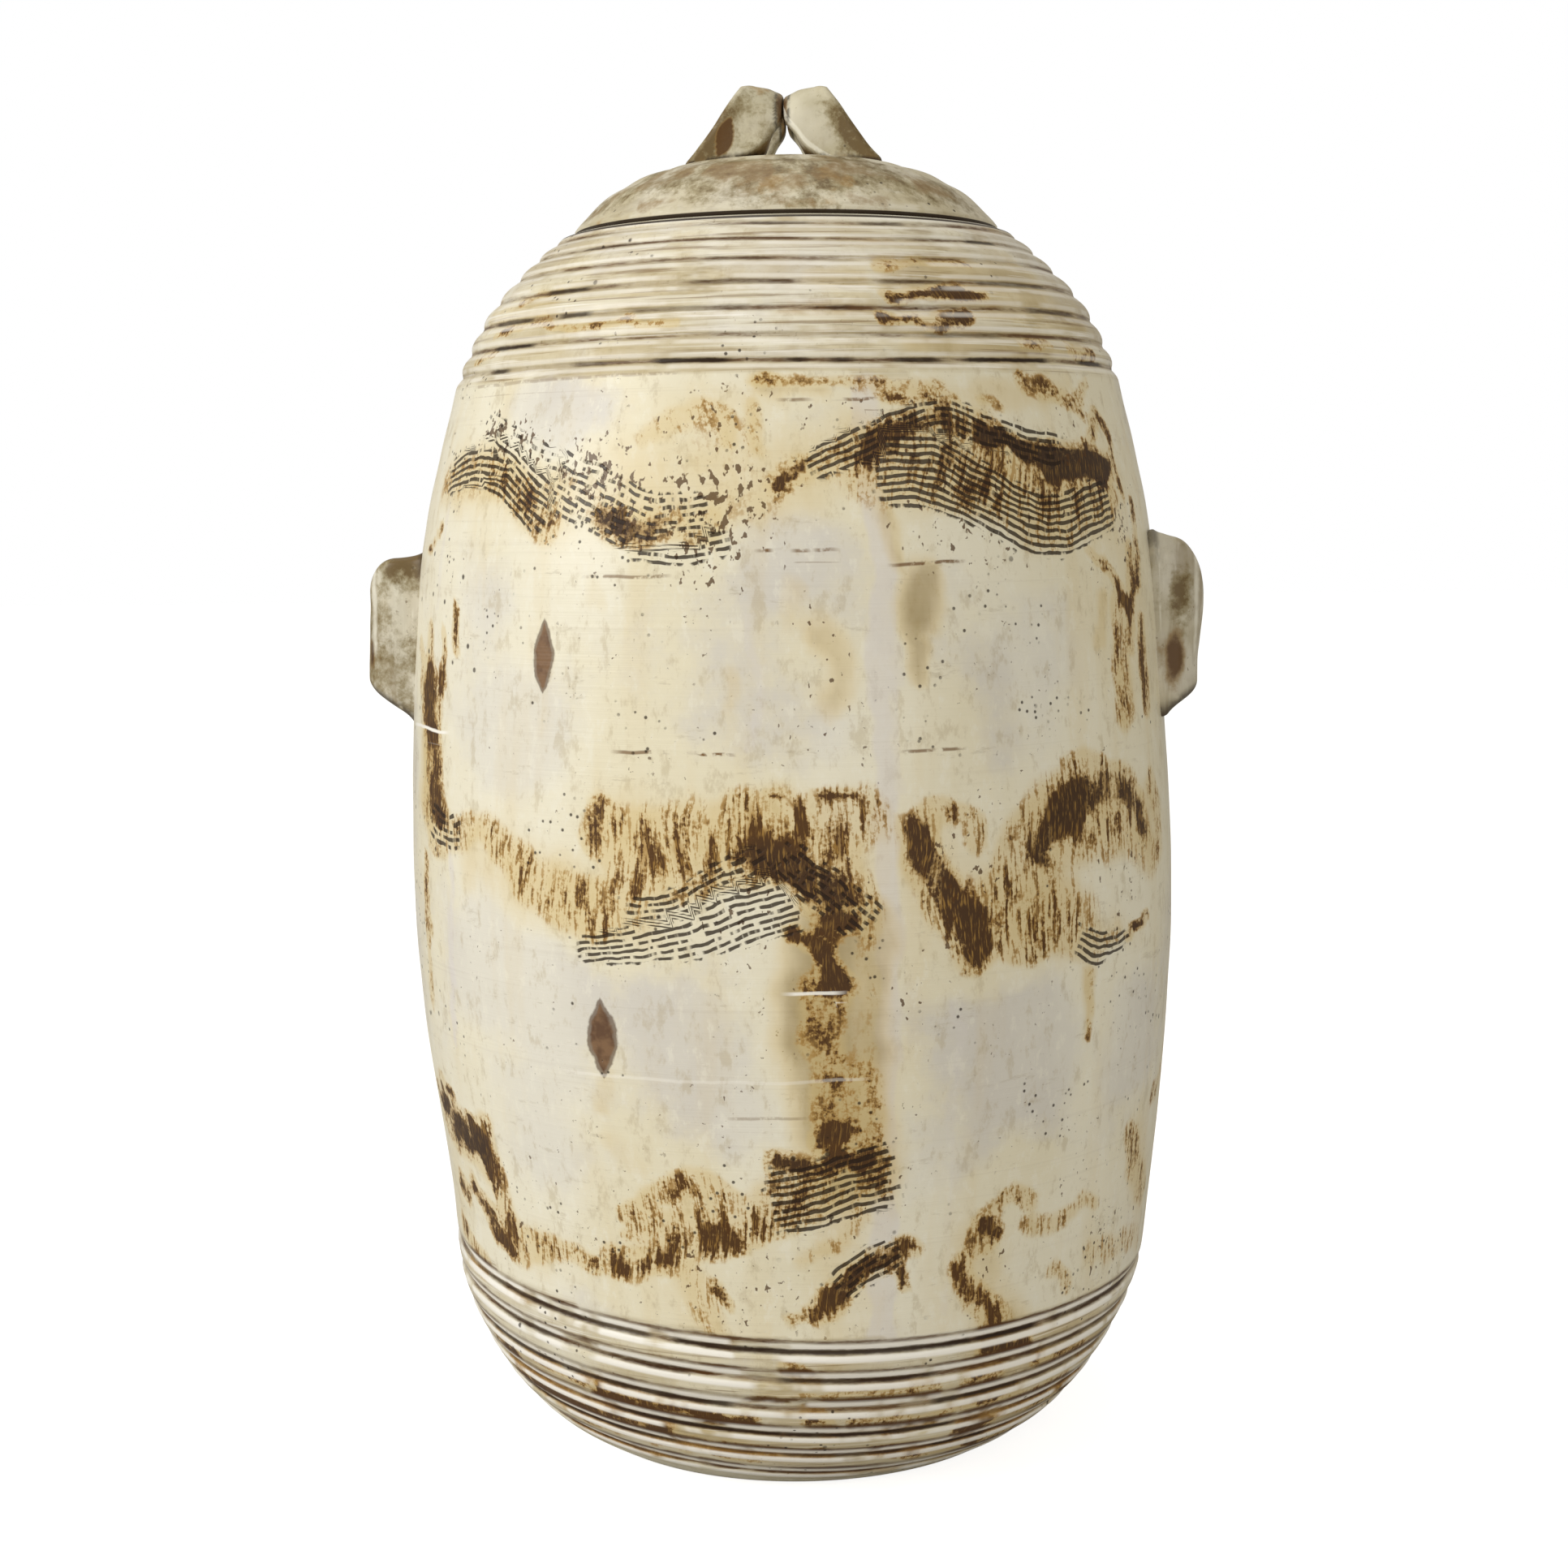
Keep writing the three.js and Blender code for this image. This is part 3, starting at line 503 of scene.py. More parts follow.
# lays the strokes on the wall as smooth fields, which the glaze breaks up into lines, hairs and clouds
def decorate(piece, outer, height, angle, washes, combs=(), dashes=(), spots=(), cracks=(), soaked=(), runs=(),
             specks=(), cools=()):
    points = getPoints(piece)[outer]
    up = height[outer]
    # the far side has the same strokes again, turned half way round and a little on
    seen = angle[outer]
    behind = seen - 180 * np.sign(seen)
    behind = behind + 8 * np.cos(np.radians(behind)) ** 2
    seen = np.where(np.abs(seen) > 90, behind, seen)
    count = len(up)
    along = np.radians(seen) * wallRound
    coarse, fine = swells(points, coarseBend[0], 5), swells(points, fineBend[0], 6)
    bentAlong = along + coarseBend[1] * coarse[:, 0] + fineBend[1] * fine[:, 0]
    bentUp = up + coarseBend[2] * coarse[:, 1] + fineBend[2] * fine[:, 1]

    def nearby(path, reach):
        a = np.radians([p[0] for p in path]) * wallRound
        h = np.array([p[1] for p in path])
        inside = (along > a.min() - reach) & (along < a.max() + reach)
        return np.where(inside & (up > h.min() - reach) & (up < h.max() + reach))[0]

    washAndShade, ink, hair, halo, leading = (np.zeros(count) for _ in range(5))
    hairTrack = along + 3.0 * coarse[:, 2] + 0.10 * (up - 200) * swells(points, 14, 8)[:, 0]
    for path, width, strength, hairs, black in washes:
        near = nearby(path, np.max(width) + 22)
        if not len(near):
            continue
        inside = strokeField(bentAlong[near], bentUp[near], path, width)[2]
        amount = smoothStep(-0.45, 0.75, inside) * strength
        washAndShade[near] = np.maximum(washAndShade[near], amount) + 0.35 * np.minimum(washAndShade[near], amount)
        ink[near] = np.maximum(ink[near], smoothStep(-0.15, 0.6, inside) * black)
        halo[near] = np.maximum(halo[near], smoothStep(-22, 0, inside * np.max(width) / 2) * min(1, strength + 0.3))
        first = amount > leading[near]
        hair[near[first]] = hairs
        leading[near[first]] = amount[first]

    comb, lines, broken, drag = (np.zeros(count) for _ in range(4))
    for path, width, pitch, strength, skip in combs:
        near = nearby(path, np.max(width))
        if not len(near):
            continue
        run, across, inside, length = strokeField(along[near] + 1.2 * coarse[near, 0],
                                                  up[near] + 1.7 * coarse[near, 1] + 0.5 * fine[near, 1], path, width)
        amount = smoothStep(-3, 7, run) * smoothStep(-3, 7, length - run)
        half = width / 2 if not isinstance(width, tuple) else np.interp(run, (0, length), width) / 2
        amount *= smoothStep(-1.6, 2.0, half - np.abs(across)) * strength
        first = (amount > comb[near]) | ((comb[near] == 0) & (np.abs(across) < np.max(width)))
        comb[near[first]] = amount[first]
        lines[near[first]] = (across / pitch)[first]
        broken[near[first]] = skip
        drag[near[first]] = run[first] / 10

    groove = np.zeros(count)
    for start, end, level, strength in dashes:
        inBand = smoothStep(start - 1.5, start + 1, seen) * (1 - smoothStep(end - 1, end + 1.5, seen))
        groove = np.maximum(groove, inBand * smoothStep(5.5, 2.5, np.abs(up - level)) * strength)
    spotX, spotY = np.full(count, 9.0), np.full(count, 9.0)
    for middle, level, wide, tall in spots:
        x = (along - math.radians(middle) * wallRound) / wide
        y = (up - level) / tall
        nearer = np.hypot(x, y) < np.hypot(spotX, spotY)
        spotX, spotY = np.where(nearer, x, spotX), np.where(nearer, y, spotY)
    crack, crackSide = np.zeros(count), np.full(count, 5.0)
    for start, end, level, strength in cracks:
        slant = up - level - 0.5 * coarse[:, 2] - 0.02 * (seen - start)
        inBand = smoothStep(start - 0.6, start + 0.6, seen) * (1 - smoothStep(end - 0.6, end + 0.6, seen))
        nearer = (seen > start - 5) & (seen < end + 5) & (np.abs(slant) < np.abs(crackSide))
        crack = np.where(nearer, inBand * strength * smoothStep(4.0, 2.0, np.abs(slant)), crack)
        crackSide = np.where(nearer, slant, crackSide)

    # soft shapes without hairs: soaked stains and pale runs from paths, spatter and cool slip from ovals
    def paths(strokes):
        field = np.zeros(count)
        for path, width, strength in strokes:
            near = nearby(path, width)
            if len(near):
                inside = strokeField(bentAlong[near], bentUp[near], path, width)[2]
                field[near] = np.maximum(field[near], smoothStep(-0.5, 0.8, inside) * strength)
        return field

    def ovals(shapes):
        field = np.zeros(count)
        for middle, level, wide, tall, strength in shapes:
            x = (bentAlong - math.radians(middle) * wallRound) / wide
            y = (bentUp - level) / tall
            field = np.maximum(field, smoothStep(1.25, 0.35, np.hypot(x, y)) * strength)
        return field

    def put(name, values, blank=0.0):
        whole = np.full(len(outer), blank)
        whole[outer] = values
        keep(piece, name, whole)

    put("washAndShade", np.clip(washAndShade, 0, 1.2))
    put("ink", ink)
    put("hair", hair)
    put("halo", halo)
    put("hairTrack", hairTrack)
    put("hairUp", up)
    put("comb", comb)
    put("combLines", lines)
    put("combBroken", broken)
    put("combDrag", drag)
    put("grooveDark", groove)
    put("spotX", spotX, 9.0)
    put("spotY", spotY, 9.0)
    put("spotNear", smoothStep(2.2, 1.6, np.hypot(spotX, spotY)))
    put("crack", crack)
    put("crackSide", crackSide, 5.0)
    put("stainAndShade", paths(soaked))
    put("pale", paths(runs))
    put("specks", ovals(specks))
    put("cools", ovals(cools))


# Glaze and clay

# a number that flows through a node tree: sums with it make the nodes that work them out
class Flow:
    def __init__(self, finish, socket):
        self.finish = finish
        self.socket = socket

    def __add__(self, other):
        return self.finish.math("ADD", self, other)

    def __sub__(self, other):
        return self.finish.math("SUBTRACT", self, other)

    def __rsub__(self, other):
        return self.finish.math("SUBTRACT", other, self)

    def __mul__(self, other):
        return self.finish.math("MULTIPLY", self, other)

    def __abs__(self):
        return self.finish.math("ABSOLUTE", self)

    __radd__, __rmul__ = __add__, __mul__


# a material's node tree, with short ways to add the nodes that these finishes use
class Finish:
    def __init__(self, name):
        self.material = bpy.data.materials.new(name)
        self.material.use_nodes = True
        self.tree = self.material.node_tree
        self.shader = self.tree.nodes["Principled BSDF"]
        self.place = self.node("ShaderNodeTexCoord").outputs["Object"]

    def node(self, kind, **settings):
        made = self.tree.nodes.new(kind)
        for name, value in settings.items():
            setattr(made, name, value)
        return made

    def feed(self, socket, value):
        if isinstance(value, Flow):
            value = value.socket
        if isinstance(value, bpy.types.NodeSocket):
            self.tree.links.new(value, socket)
        elif isinstance(value, tuple) and socket.type == "RGBA":
            socket.default_value = (*value, 1)
        else:
            socket.default_value = value

    def math(self, operation, a, b=0.0):
        made = self.node("ShaderNodeMath", operation=operation)
        self.feed(made.inputs[0], a)
        self.feed(made.inputs[1], b)
        return Flow(self, made.outputs[0])

    def most(self, a, b):
        return self.math("MAXIMUM", a, b)

    def step(self, value, low, high):
        made = self.node("ShaderNodeMapRange", interpolation_type="SMOOTHSTEP")
        for name, given in (("Value", value), ("From Min", low), ("From Max", high)):
            self.feed(made.inputs[name], given)
        return Flow(self, made.outputs["Result"])

    def read(self, name):
        return Flow(self, self.node("ShaderNodeAttribute", attribute_name=name).outputs["Fac"])

    def stretched(self, x, y, z):
        made = self.node("ShaderNodeMapping")
        self.feed(made.inputs["Vector"], self.place)
        made.inputs["Scale"].default_value = (x, y, z)
        return made.outputs["Vector"]

    def joined(self, x, y, z=0.0):
        made = self.node("ShaderNodeCombineXYZ")
        for socket, value in zip(made.inputs, (x, y, z)):
            self.feed(socket, value)
        return made.outputs[0]

    # noise from 0 to 1; place is another vector, or three stretches of the object's own
    def cloud(self, scale, detail=2.0, roughness=0.5, place=None):
        made = self.node("ShaderNodeTexNoise")
        self.feed(made.inputs["Vector"], self.stretched(*place) if isinstance(place, tuple) else place or self.place)
        made.inputs["Scale"].default_value = scale
        made.inputs["Detail"].default_value = detail
        made.inputs["Roughness"].default_value = roughness
        return Flow(self, made.outputs["Fac"])

    # the same noise about zero
    def sway(self, *settings):
        return self.cloud(*settings) - 0.5

    def cells(self, scale):
        made = self.node("ShaderNodeTexVoronoi")
        self.feed(made.inputs["Vector"], self.place)
        made.inputs["Scale"].default_value = scale
        return Flow(self, made.outputs["Distance"])

    def blend(self, share, a, b):
        made = self.node("ShaderNodeMix", data_type="RGBA")
        self.feed(made.inputs[0], share)
        self.feed(made.inputs[6], a)
        self.feed(made.inputs[7], b)
        return made.outputs[2]

    # lays a paint over what is there: its colour, or that colour's name in glaze, and how much of it
    def paint(self, shade, share):
        self.colour = self.blend(share, self.colour, glaze[shade] if isinstance(shade, str) else shade)

    def between(self, share, a, b):
        made = self.node("ShaderNodeMix", data_type="FLOAT")
        self.feed(made.inputs[0], share)
        self.feed(made.inputs[2], a)
        self.feed(made.inputs[3], b)
        return Flow(self, made.outputs[0])

    def bump(self, height, strength, distance, normal=None):
        made = self.node("ShaderNodeBump")
        made.inputs["Strength"].default_value = strength
        made.inputs["Distance"].default_value = distance
        self.feed(made.inputs["Height"], height)
        if normal:
            self.feed(made.inputs["Normal"], normal)
        return made.outputs["Normal"]

    # hooks the finish up, and gives its material
    def coat(self, roughness, gloss, normal):
        for name, value in (("Base Color", self.colour), ("Roughness", roughness), ("Specular IOR Level", gloss),
                            ("Normal", normal)):
            self.feed(self.shader.inputs[name], value)
        return self.material

    # small dark pits where gas broke the glaze: cells to a metre, how much of the wall has them, and their size
    def pits(self, scale, share, size):
        where = self.step(self.cloud(scale / 9, 2), 0.62 - share, 0.68 - share)
        return self.step(self.cells(scale), size, size * 0.5) * where


glaze = {  # linear colours
    "ivory": (0.86, 0.83, 0.71),
    "cream": (0.79, 0.73, 0.55),
    "cool": (0.66, 0.63, 0.58),
    # lip: the near-white of the painted highlights on groove lips, ridges and turning lines, and of the pale cracks
    "lip": (0.96, 0.93, 0.86),
    "honey": (0.69, 0.53, 0.24),
    "ochre": (0.42, 0.235, 0.055),
    "olive": (0.27, 0.185, 0.060),
    "brown": (0.088, 0.036, 0.008),
    "black": (0.040, 0.023, 0.014),
    "line": (0.022, 0.010, 0.004),
    "bare": (0.19, 0.100, 0.036),
}


# cream slip glaze: warm near the washes, cool and greyer where it lies thick, with faint runs down the wall
def glazeGround(f, warm, thick):
    patches = f.cloud(14, 6, 0.66)
    cool = f.step(patches + 0.24 * thick - 0.16 * warm, 0.42, 0.66)
    f.colour = glaze["cream"]
    f.paint("cool", cool * 0.85)
    bright = f.step(f.cloud(17, 3, 0.5, (1, 1, 0.5)), 0.42, 0.62)
    f.paint("ivory", bright * 0.5)
    runs = f.cloud(55, 3, 0.6, (1, 1, 0.1))
    f.paint("honey", f.step(runs, 0.5, 0.72) * 0.2)
    mottle = f.cloud(170, 4, 0.72, (1, 1, 0.55))
    f.paint((0.46, 0.37, 0.21), f.step(mottle, 0.53, 0.68) * 0.36)
    f.paint("ivory", f.step(mottle, 0.46, 0.34) * 0.4)
    scuffs = f.cloud(90, 5, 0.75, (0.6, 0.6, 2.2))
    f.paint((0.4, 0.33, 0.21), f.step(scuffs, 0.6, 0.7) * 0.3)
    flecks = f.step(f.cloud(520, 2, 0.6), 0.68, 0.73) * f.step(f.cloud(50, 2), 0.44, 0.6)
    f.paint("brown", flecks * 0.75)


def jarGlaze():
    f = Finish("combed_slip_glaze")
    washAndShade, ink, hair, halo, stainAndShade, pale = (f.read(n) for n in ("washAndShade", "ink", "hair", "halo", "stainAndShade", "pale"))
    glazeGround(f, halo, f.read("cools"))
    lilac = f.step(pale + f.sway(30, 3, 0.6, (1, 1, 0.3)) * 0.8, 0.2, 0.6)
    f.paint((0.72, 0.68, 0.66), lilac * 0.55)
    uneven = f.sway(42, 4, 0.6, (1, 1, 0.45))
    soakAndShade = stainAndShade + uneven * 0.9 * f.step(stainAndShade, 0.0, 0.2)
    f.paint("honey", f.step(soakAndShade, 0.05, 0.6) * 0.5)
    f.paint("olive", f.step(soakAndShade, 0.4, 1.0) * 0.66)
    # a dull film lies over the grooves
    zone, foot = f.read("grooveZone"), f.read("footZone")
    film = f.step(f.cloud(24, 4, 0.6, (1, 1, 2)), 0.36, 0.62)
    f.paint((0.44, 0.34, 0.165), (zone - foot * 0.2) * (0.12 + film * 0.5))
    smears = f.step(f.cloud(15, 5, 0.7, (1, 1, 6)), 0.53, 0.68)
    f.paint("olive", smears * (zone - foot * 0.3) * 0.55)
    # level turning lines, dark and pale: painted shade and painted highlights along the fine turning ridges, faint all
    # over and stronger among the grooves
    rings = f.cloud(1.0, 3, 0.7, (6, 6, 420))
    fine = f.cloud(1.0, 3, 0.65, (16, 16, 900))
    f.paint("bare", f.step(rings, 0.58, 0.7) * (0.05 + zone * 0.4))
    f.paint("ivory", f.step(rings, 0.44, 0.34) * zone * 0.5)
    f.paint("bare", f.step(fine, 0.6, 0.68) * zone * 0.55)
    f.paint("lip", f.step(fine, 0.4, 0.33) * zone * 0.5)
    # iron wash: hairs hang down the wall, clouds go any way, and fine grain breaks every edge
    track, climb = f.read("hairTrack"), f.read("hairUp")
    broad = f.cloud(1.0, 2, 0.5, f.joined(track * 0.17, climb * 0.04, 3.0))
    hairs = f.cloud(1.0, 3, 0.62, f.joined(track * 0.6, climb * 0.08))
    grain = f.sway(760, 2, 0.6) * 0.4
    lumps = f.step(f.between(hair, f.cloud(55, 4, 0.62), broad), 0.34, 0.66)
    body = washAndShade * (0.3 + lumps * 1.1) + f.step(washAndShade, 0.7, 1.05) * 0.5
    broken = f.step(f.between(hair, f.cloud(140, 4, 0.7), hairs) + grain, 0.38, 0.64)
    calm = 1.0 - ink * 0.45
    density = body + (broken - 0.52) * calm * f.step(washAndShade, 0.02, 0.42) * 0.9
    f.paint("honey", f.step(washAndShade, 0.08, 0.5) * 0.5)
    f.paint("ochre", f.step(density, 0.2, 0.74) * 0.86)
    f.paint("brown", f.step(density, 0.6, 1.02) * 0.97)
    f.paint("black", f.step(density, 0.4, 0.95) * ink * 0.8)
    strands = f.cloud(1.0, 2, 0.6, f.joined(track * 1.5, climb * 0.17, 7.0))
    f.paint("ochre", f.step(strands, 0.52, 0.66) * f.step(density, 0.6, 1.0) * (0.28 + hair * 0.45))
    # spatter: short dark marks
    marks = f.cloud(430, 2, 0.55, (1, 1, 0.7))
    specks = f.read("specks")
    speck = f.step(marks + specks * 0.13, 0.715, 0.755) * f.step(specks, 0.02, 0.2)
    f.paint("brown", speck * 0.85)
    # comb lines: iron lies in the scratches, and breaks off where the comb skipped
    comb, lines, skip, drag = (f.read(n) for n in ("comb", "combLines", "combBroken", "combDrag"))
    wavy = lines + f.sway(110, 2) * 1.3
    wave = f.math("COSINE", wavy * (2 * math.pi))
    tooth = f.math("ROUND", wavy)
    gaps = f.cloud(1.0, 2, 0.6, f.joined(drag * 2.9, tooth * 3.7, 2.0))
    inked = f.step(gaps, f.between(skip, 0.24, 0.54), f.between(skip, 0.36, 0.62))
    reach = f.step(comb + (gaps - 0.5) * 1.4, 0.25, 0.5)
    thin = f.cloud(240, 2) * 1.4 - 0.48 - washAndShade * 0.3
    scratch = f.step(wave, thin - 0.35, thin + 0.2) * inked * reach * f.step(comb, 0.0, 0.1)
    f.paint("line", scratch * 0.9)
    # grooves on the shoulder and foot, each foot groove with painted highlights on the lips under and over it
    turn, dark = f.read("grooveTurn"), f.read("grooveDark")
    ragged = f.sway(260, 3, 0.7, (0.35, 0.35, 1)) * 0.12
    aside = turn - f.math("ROUND", turn)
    offGroove = abs(aside) + ragged
    groove = f.step(offGroove, 0.14, 0.03) * zone
    grooveDirtAndShade = f.step(f.cloud(26, 5, 0.7, (1, 1, 5)), 0.42, 0.62)
    patchy = f.step(f.cloud(30, 4, 0.65, (1, 1, 2.5)), 0.52, 0.72)
    patchy = f.most(patchy, f.step(washAndShade, 0.1, 0.5) * foot)
    # painted shade and stain: ochre darkening outwards from each groove's middle, in patches
    grooveStainAndShade = f.step(offGroove, 0.42, 0.05) * zone * patchy * (0.5 + foot * 0.2)
    f.paint("ochre", grooveStainAndShade)
    fill = f.step(abs(aside - 0.34), 0.24, 0.04) * foot
    f.paint("brown", fill * (0.14 + patchy * 0.76))
    # painted highlight: near-white lines on the lips under and over each foot groove
    offLipHighlight = f.math("MINIMUM", abs(aside + 0.21), abs(aside - 0.17))
    clean = f.step(f.cloud(45, 3, 0.6, (1, 1, 0.6)), 0.34, 0.5)
    lip = f.step(offLipHighlight, 0.14, 0.05) * foot * clean
    f.paint("lip", lip * 0.9)
    offSecond = abs(aside - 0.36) + ragged
    second = f.step(offSecond, 0.1, 0.03) * foot
    f.paint("brown", second * (0.35 + grooveDirtAndShade * 0.6))
    # painted shade and iron in the groove recesses: a bare tint and a brown core, patchy
    least = 0.16 + foot * 0.2
    f.paint("bare", groove * (least + grooveDirtAndShade * 0.6))
    core = f.step(offGroove, 0.085, 0.025) * zone
    f.paint("brown", core * (least - 0.08 + grooveDirtAndShade * 0.8))
    f.paint("line", groove * dark * 0.95)
    # painted highlight along the ridges beside each groove
    crest = f.step(abs(abs(aside) - 0.24), 0.14, 0.03) * zone * clean
    f.paint("lip", crest * 0.45)
    # bare spots, cracks, pits and the dark joint under the lid
    spotX, spotY = f.read("spotX"), f.read("spotY")
    spot = 1.0 - spotY * spotY - abs(spotX) + f.sway(170, 3, 0.6) * 0.7 + (f.read("spotNear") - 1.0) * 9.0
    f.paint("brown", f.step(spot, -0.14, 0.06) * 0.75)
    clay = f.blend(f.step(f.cloud(150, 3, 0.6), 0.4, 0.6), (0.115, 0.055, 0.026), (0.215, 0.118, 0.058))
    f.paint(clay, f.step(spot, 0.12, 0.34) * 0.9)
    crack = f.read("crack")
    offCrack = abs(f.read("crackSide") + f.sway(90, 2) * 1.2)
    ridge = f.step(offCrack, 0.75, 0.25)
    torn = f.step(f.cloud(210, 3, 0.7), 0.36, 0.52)
    f.paint("bare", ridge * torn * f.most(crack, 0.0))
    f.paint("lip", ridge * f.most(crack * -1.0, 0.0))
    pits = f.most(f.pits(300, 0.06, 0.2), f.pits(120, 0.05, 0.13))
    f.paint("line", pits * 0.85)
    f.paint("line", f.step(f.read("seam"), 0.2, 0.6) * 0.98)
    normal = f.bump(f.cloud(36, 3, 0.5), 0.22, 0.0015)
    normal = f.bump(f.most(f.most(scratch, pits), groove) * -1.0, 0.5, 0.0007, normal)
    normal = f.bump(rings + fine * zone, 0.25, 0.0005, normal)
    return f.coat(0.3 + f.step(density, 0.4, 1.0) * 0.24, 0.2, normal)


# the lid, ears and knob: the same slip with iron wiped over it. Their tone, how much iron lies in patches, which way
# the streaks run and how strong they are
wiped = {
    "lid_glaze": {"tone": (0.52, 0.445, 0.26), "share": 0.75, "iron": 0.55, "run": (0.5, 0.5, 2.6), "streaks": 0.28},
    "ear_glaze": {"tone": (0.40, 0.35, 0.235), "share": 0.75, "iron": 0.1, "run": (1, 1, 0.16), "streaks": 0.50},
    "knob_glaze": {"tone": (0.47, 0.42, 0.27), "share": 0.80, "iron": 0.0, "run": (1, 1, 0.7), "streaks": 0.14},
}


def wipedGlaze(name):
    w = wiped[name]
    f = Finish(name)
    glazeGround(f, 0.3, 0.5)
    greyer = f.step(f.cloud(40, 3, 0.6), 0.36, 0.6)
    f.paint(w["tone"], (0.5 + greyer * 0.5) * w["share"])
    streaks = f.cloud(110, 4, 0.66, w["run"])
    f.paint((0.25, 0.185, 0.095), f.step(streaks, 0.5, 0.66) * w["streaks"])
    f.paint("ivory", f.step(streaks, 0.44, 0.34) * w["streaks"])
    washAndShade, edge, stainAndShade, pale = (f.read(n) for n in ("washAndShade", "edge", "stainAndShade", "pale"))
    crumbly = (f.cloud(80, 5, 0.72) - 0.52) * 2.4 + f.sway(330, 3, 0.7) * 1.3
    # on the knob loops the stain also carries painted shade on the cut-back facet
    soakAndShade = stainAndShade + crumbly * f.step(stainAndShade, 0.0, 0.3)
    f.paint((0.225, 0.17, 0.07), f.step(soakAndShade, 0.1, 0.8) * 0.8)
    f.paint((0.12, 0.068, 0.018), f.step(soakAndShade, 0.62, 1.05) * 0.75)
    patch = f.cloud(34, 4, 0.62) + f.sway(220, 3, 0.7) * 0.15
    low = 0.66 - w["iron"] * 0.2
    f.paint("ochre", f.step(patch, low, low + 0.1) * 0.5)
    f.paint("brown", f.step(patch, low + 0.06, low + 0.18) * 0.7)
    # on the knob loops the wash also carries painted shade in the gap between them and on the cut-back facet
    rubAndShade = washAndShade + f.sway(75, 5, 0.68) * f.step(washAndShade, 0.0, 0.25) * 2.2
    f.paint((0.27, 0.165, 0.055), f.step(rubAndShade, 0.12, 0.7) * 0.75)
    f.paint("brown", f.step(rubAndShade, 0.5, 1.1) * 0.85)
    # pale: painted highlight on the ears' outer ends and along the knob loops' inner edges
    light = f.step(pale + f.sway(90, 3, 0.6) * 0.9, 0.35, 0.75)
    f.paint("ivory", light * 0.7)
    # edge: painted shade on the ears' outer ends and undersides and beside the knob loops' crease, darker at the ears'
    # top roots, and a dark line at the knob's feet
    edgeShade = edge * f.step(f.cloud(130, 3, 0.6), 0.34, 0.5)
    f.paint("line", edgeShade * 0.88)
    f.paint("line", f.step(f.read("seam"), 0.2, 0.6) * 0.98)
    pits = f.pits(260, 0.08, 0.2)
    f.paint("line", pits * 0.85)
    normal = f.bump(f.cloud(60, 3, 0.5), 0.3, 0.0012)
    normal = f.bump(streaks + pits * -1.0, 0.3, 0.0005, normal)
    return f.coat(0.32 + patch * 0.14, 0.25, normal)


def bareClay():
    f = Finish("bare_stoneware")
    grain = f.cloud(330, 4, 0.7)
    f.colour = (0.27, 0.17, 0.1)
    f.paint((0.44, 0.31, 0.2), grain)
    f.paint((0.2, 0.12, 0.07), f.step(f.cloud(60, 3), 0.5, 0.7) * 0.4)
    return f.coat(0.78 + grain * 0.14, 0.5, f.bump(grain, 0.4, 0.0005))


def dress(piece, *materials):
    piece.data.materials.clear()
    for material in materials:
        piece.data.materials.append(material)


# gives the second material to the faces whose middle passes the test
def bareWhere(piece, isBare):
    for face in piece.data.polygons:
        if isBare(face.center):
            face.material_index = 1


# The lid: dome and flange in one skin

lidShape = {
    "crown": [  # radius and rise over the seat, in mm
        (72.4, 2.0), (70.2, 4.8), (66.9, 8.2), (63.1, 11.4), (58.7, 14.6), (53, 17.7), (45, 20.8), (38, 22.6),
        (28, 24.3), (15, 25.5), (0, 25.8)],
    "sides": 288, "flange": 6, "hollow": 18.1,
}

lidStrokes = [
    ([(-62, 423), (-54, 425)], 8, 0.34, 0.2, 0.0),
    ([(-48, 427), (-40, 428), (-31, 429)], 10, 0.44, 0.2, 0.1),
    ([(-24, 430), (-14, 428), (-3, 429)], (8, 13), 0.52, 0.2, 0.1),
    ([(4, 426), (9, 424)], 6, 0.34, 0.2, 0.0),
    ([(14, 428), (24, 430), (37, 429)], (12, 9), 0.42, 0.2, 0.1),
    ([(44, 426), (54, 424), (62, 423)], 7, 0.36, 0.2, 0.0),
    ([(-74, 419), (-62, 420)], 6, 0.34, 0.2, 0.0),
    ([(-40, 418), (-28, 418)], 4, 0.40, 0.2, 0.1),
    ([(-4, 417), (10, 417)], 5, 0.48, 0.2, 0.1),
    ([(20, 419), (30, 418)], 4, 0.34, 0.2, 0.0),
    ([(-10, 422), (0, 421), (8, 421)], 5, 0.30, 0.2, 0.0),
]
lidStains = [
    ([(-54, 427), (-30, 429)], 18, 0.62), ([(-28, 429), (-4, 426), (6, 434)], 20, 0.66),
    ([(10, 424), (22, 429), (40, 429)], 20, 0.74),
    ([(44, 425), (66, 421)], 14, 0.55), ([(-78, 418), (-58, 423)], 12, 0.55), ([(-10, 418), (16, 418)], 8, 0.45),
]


# height of the dome's outside at a distance from the axis, in mm
def domeHeight(radius):
    crown = np.array(lidShape["crown"][::-1])
    return np.interp(radius, crown[:, 0], crown[:, 1]) + lidSeat / mm


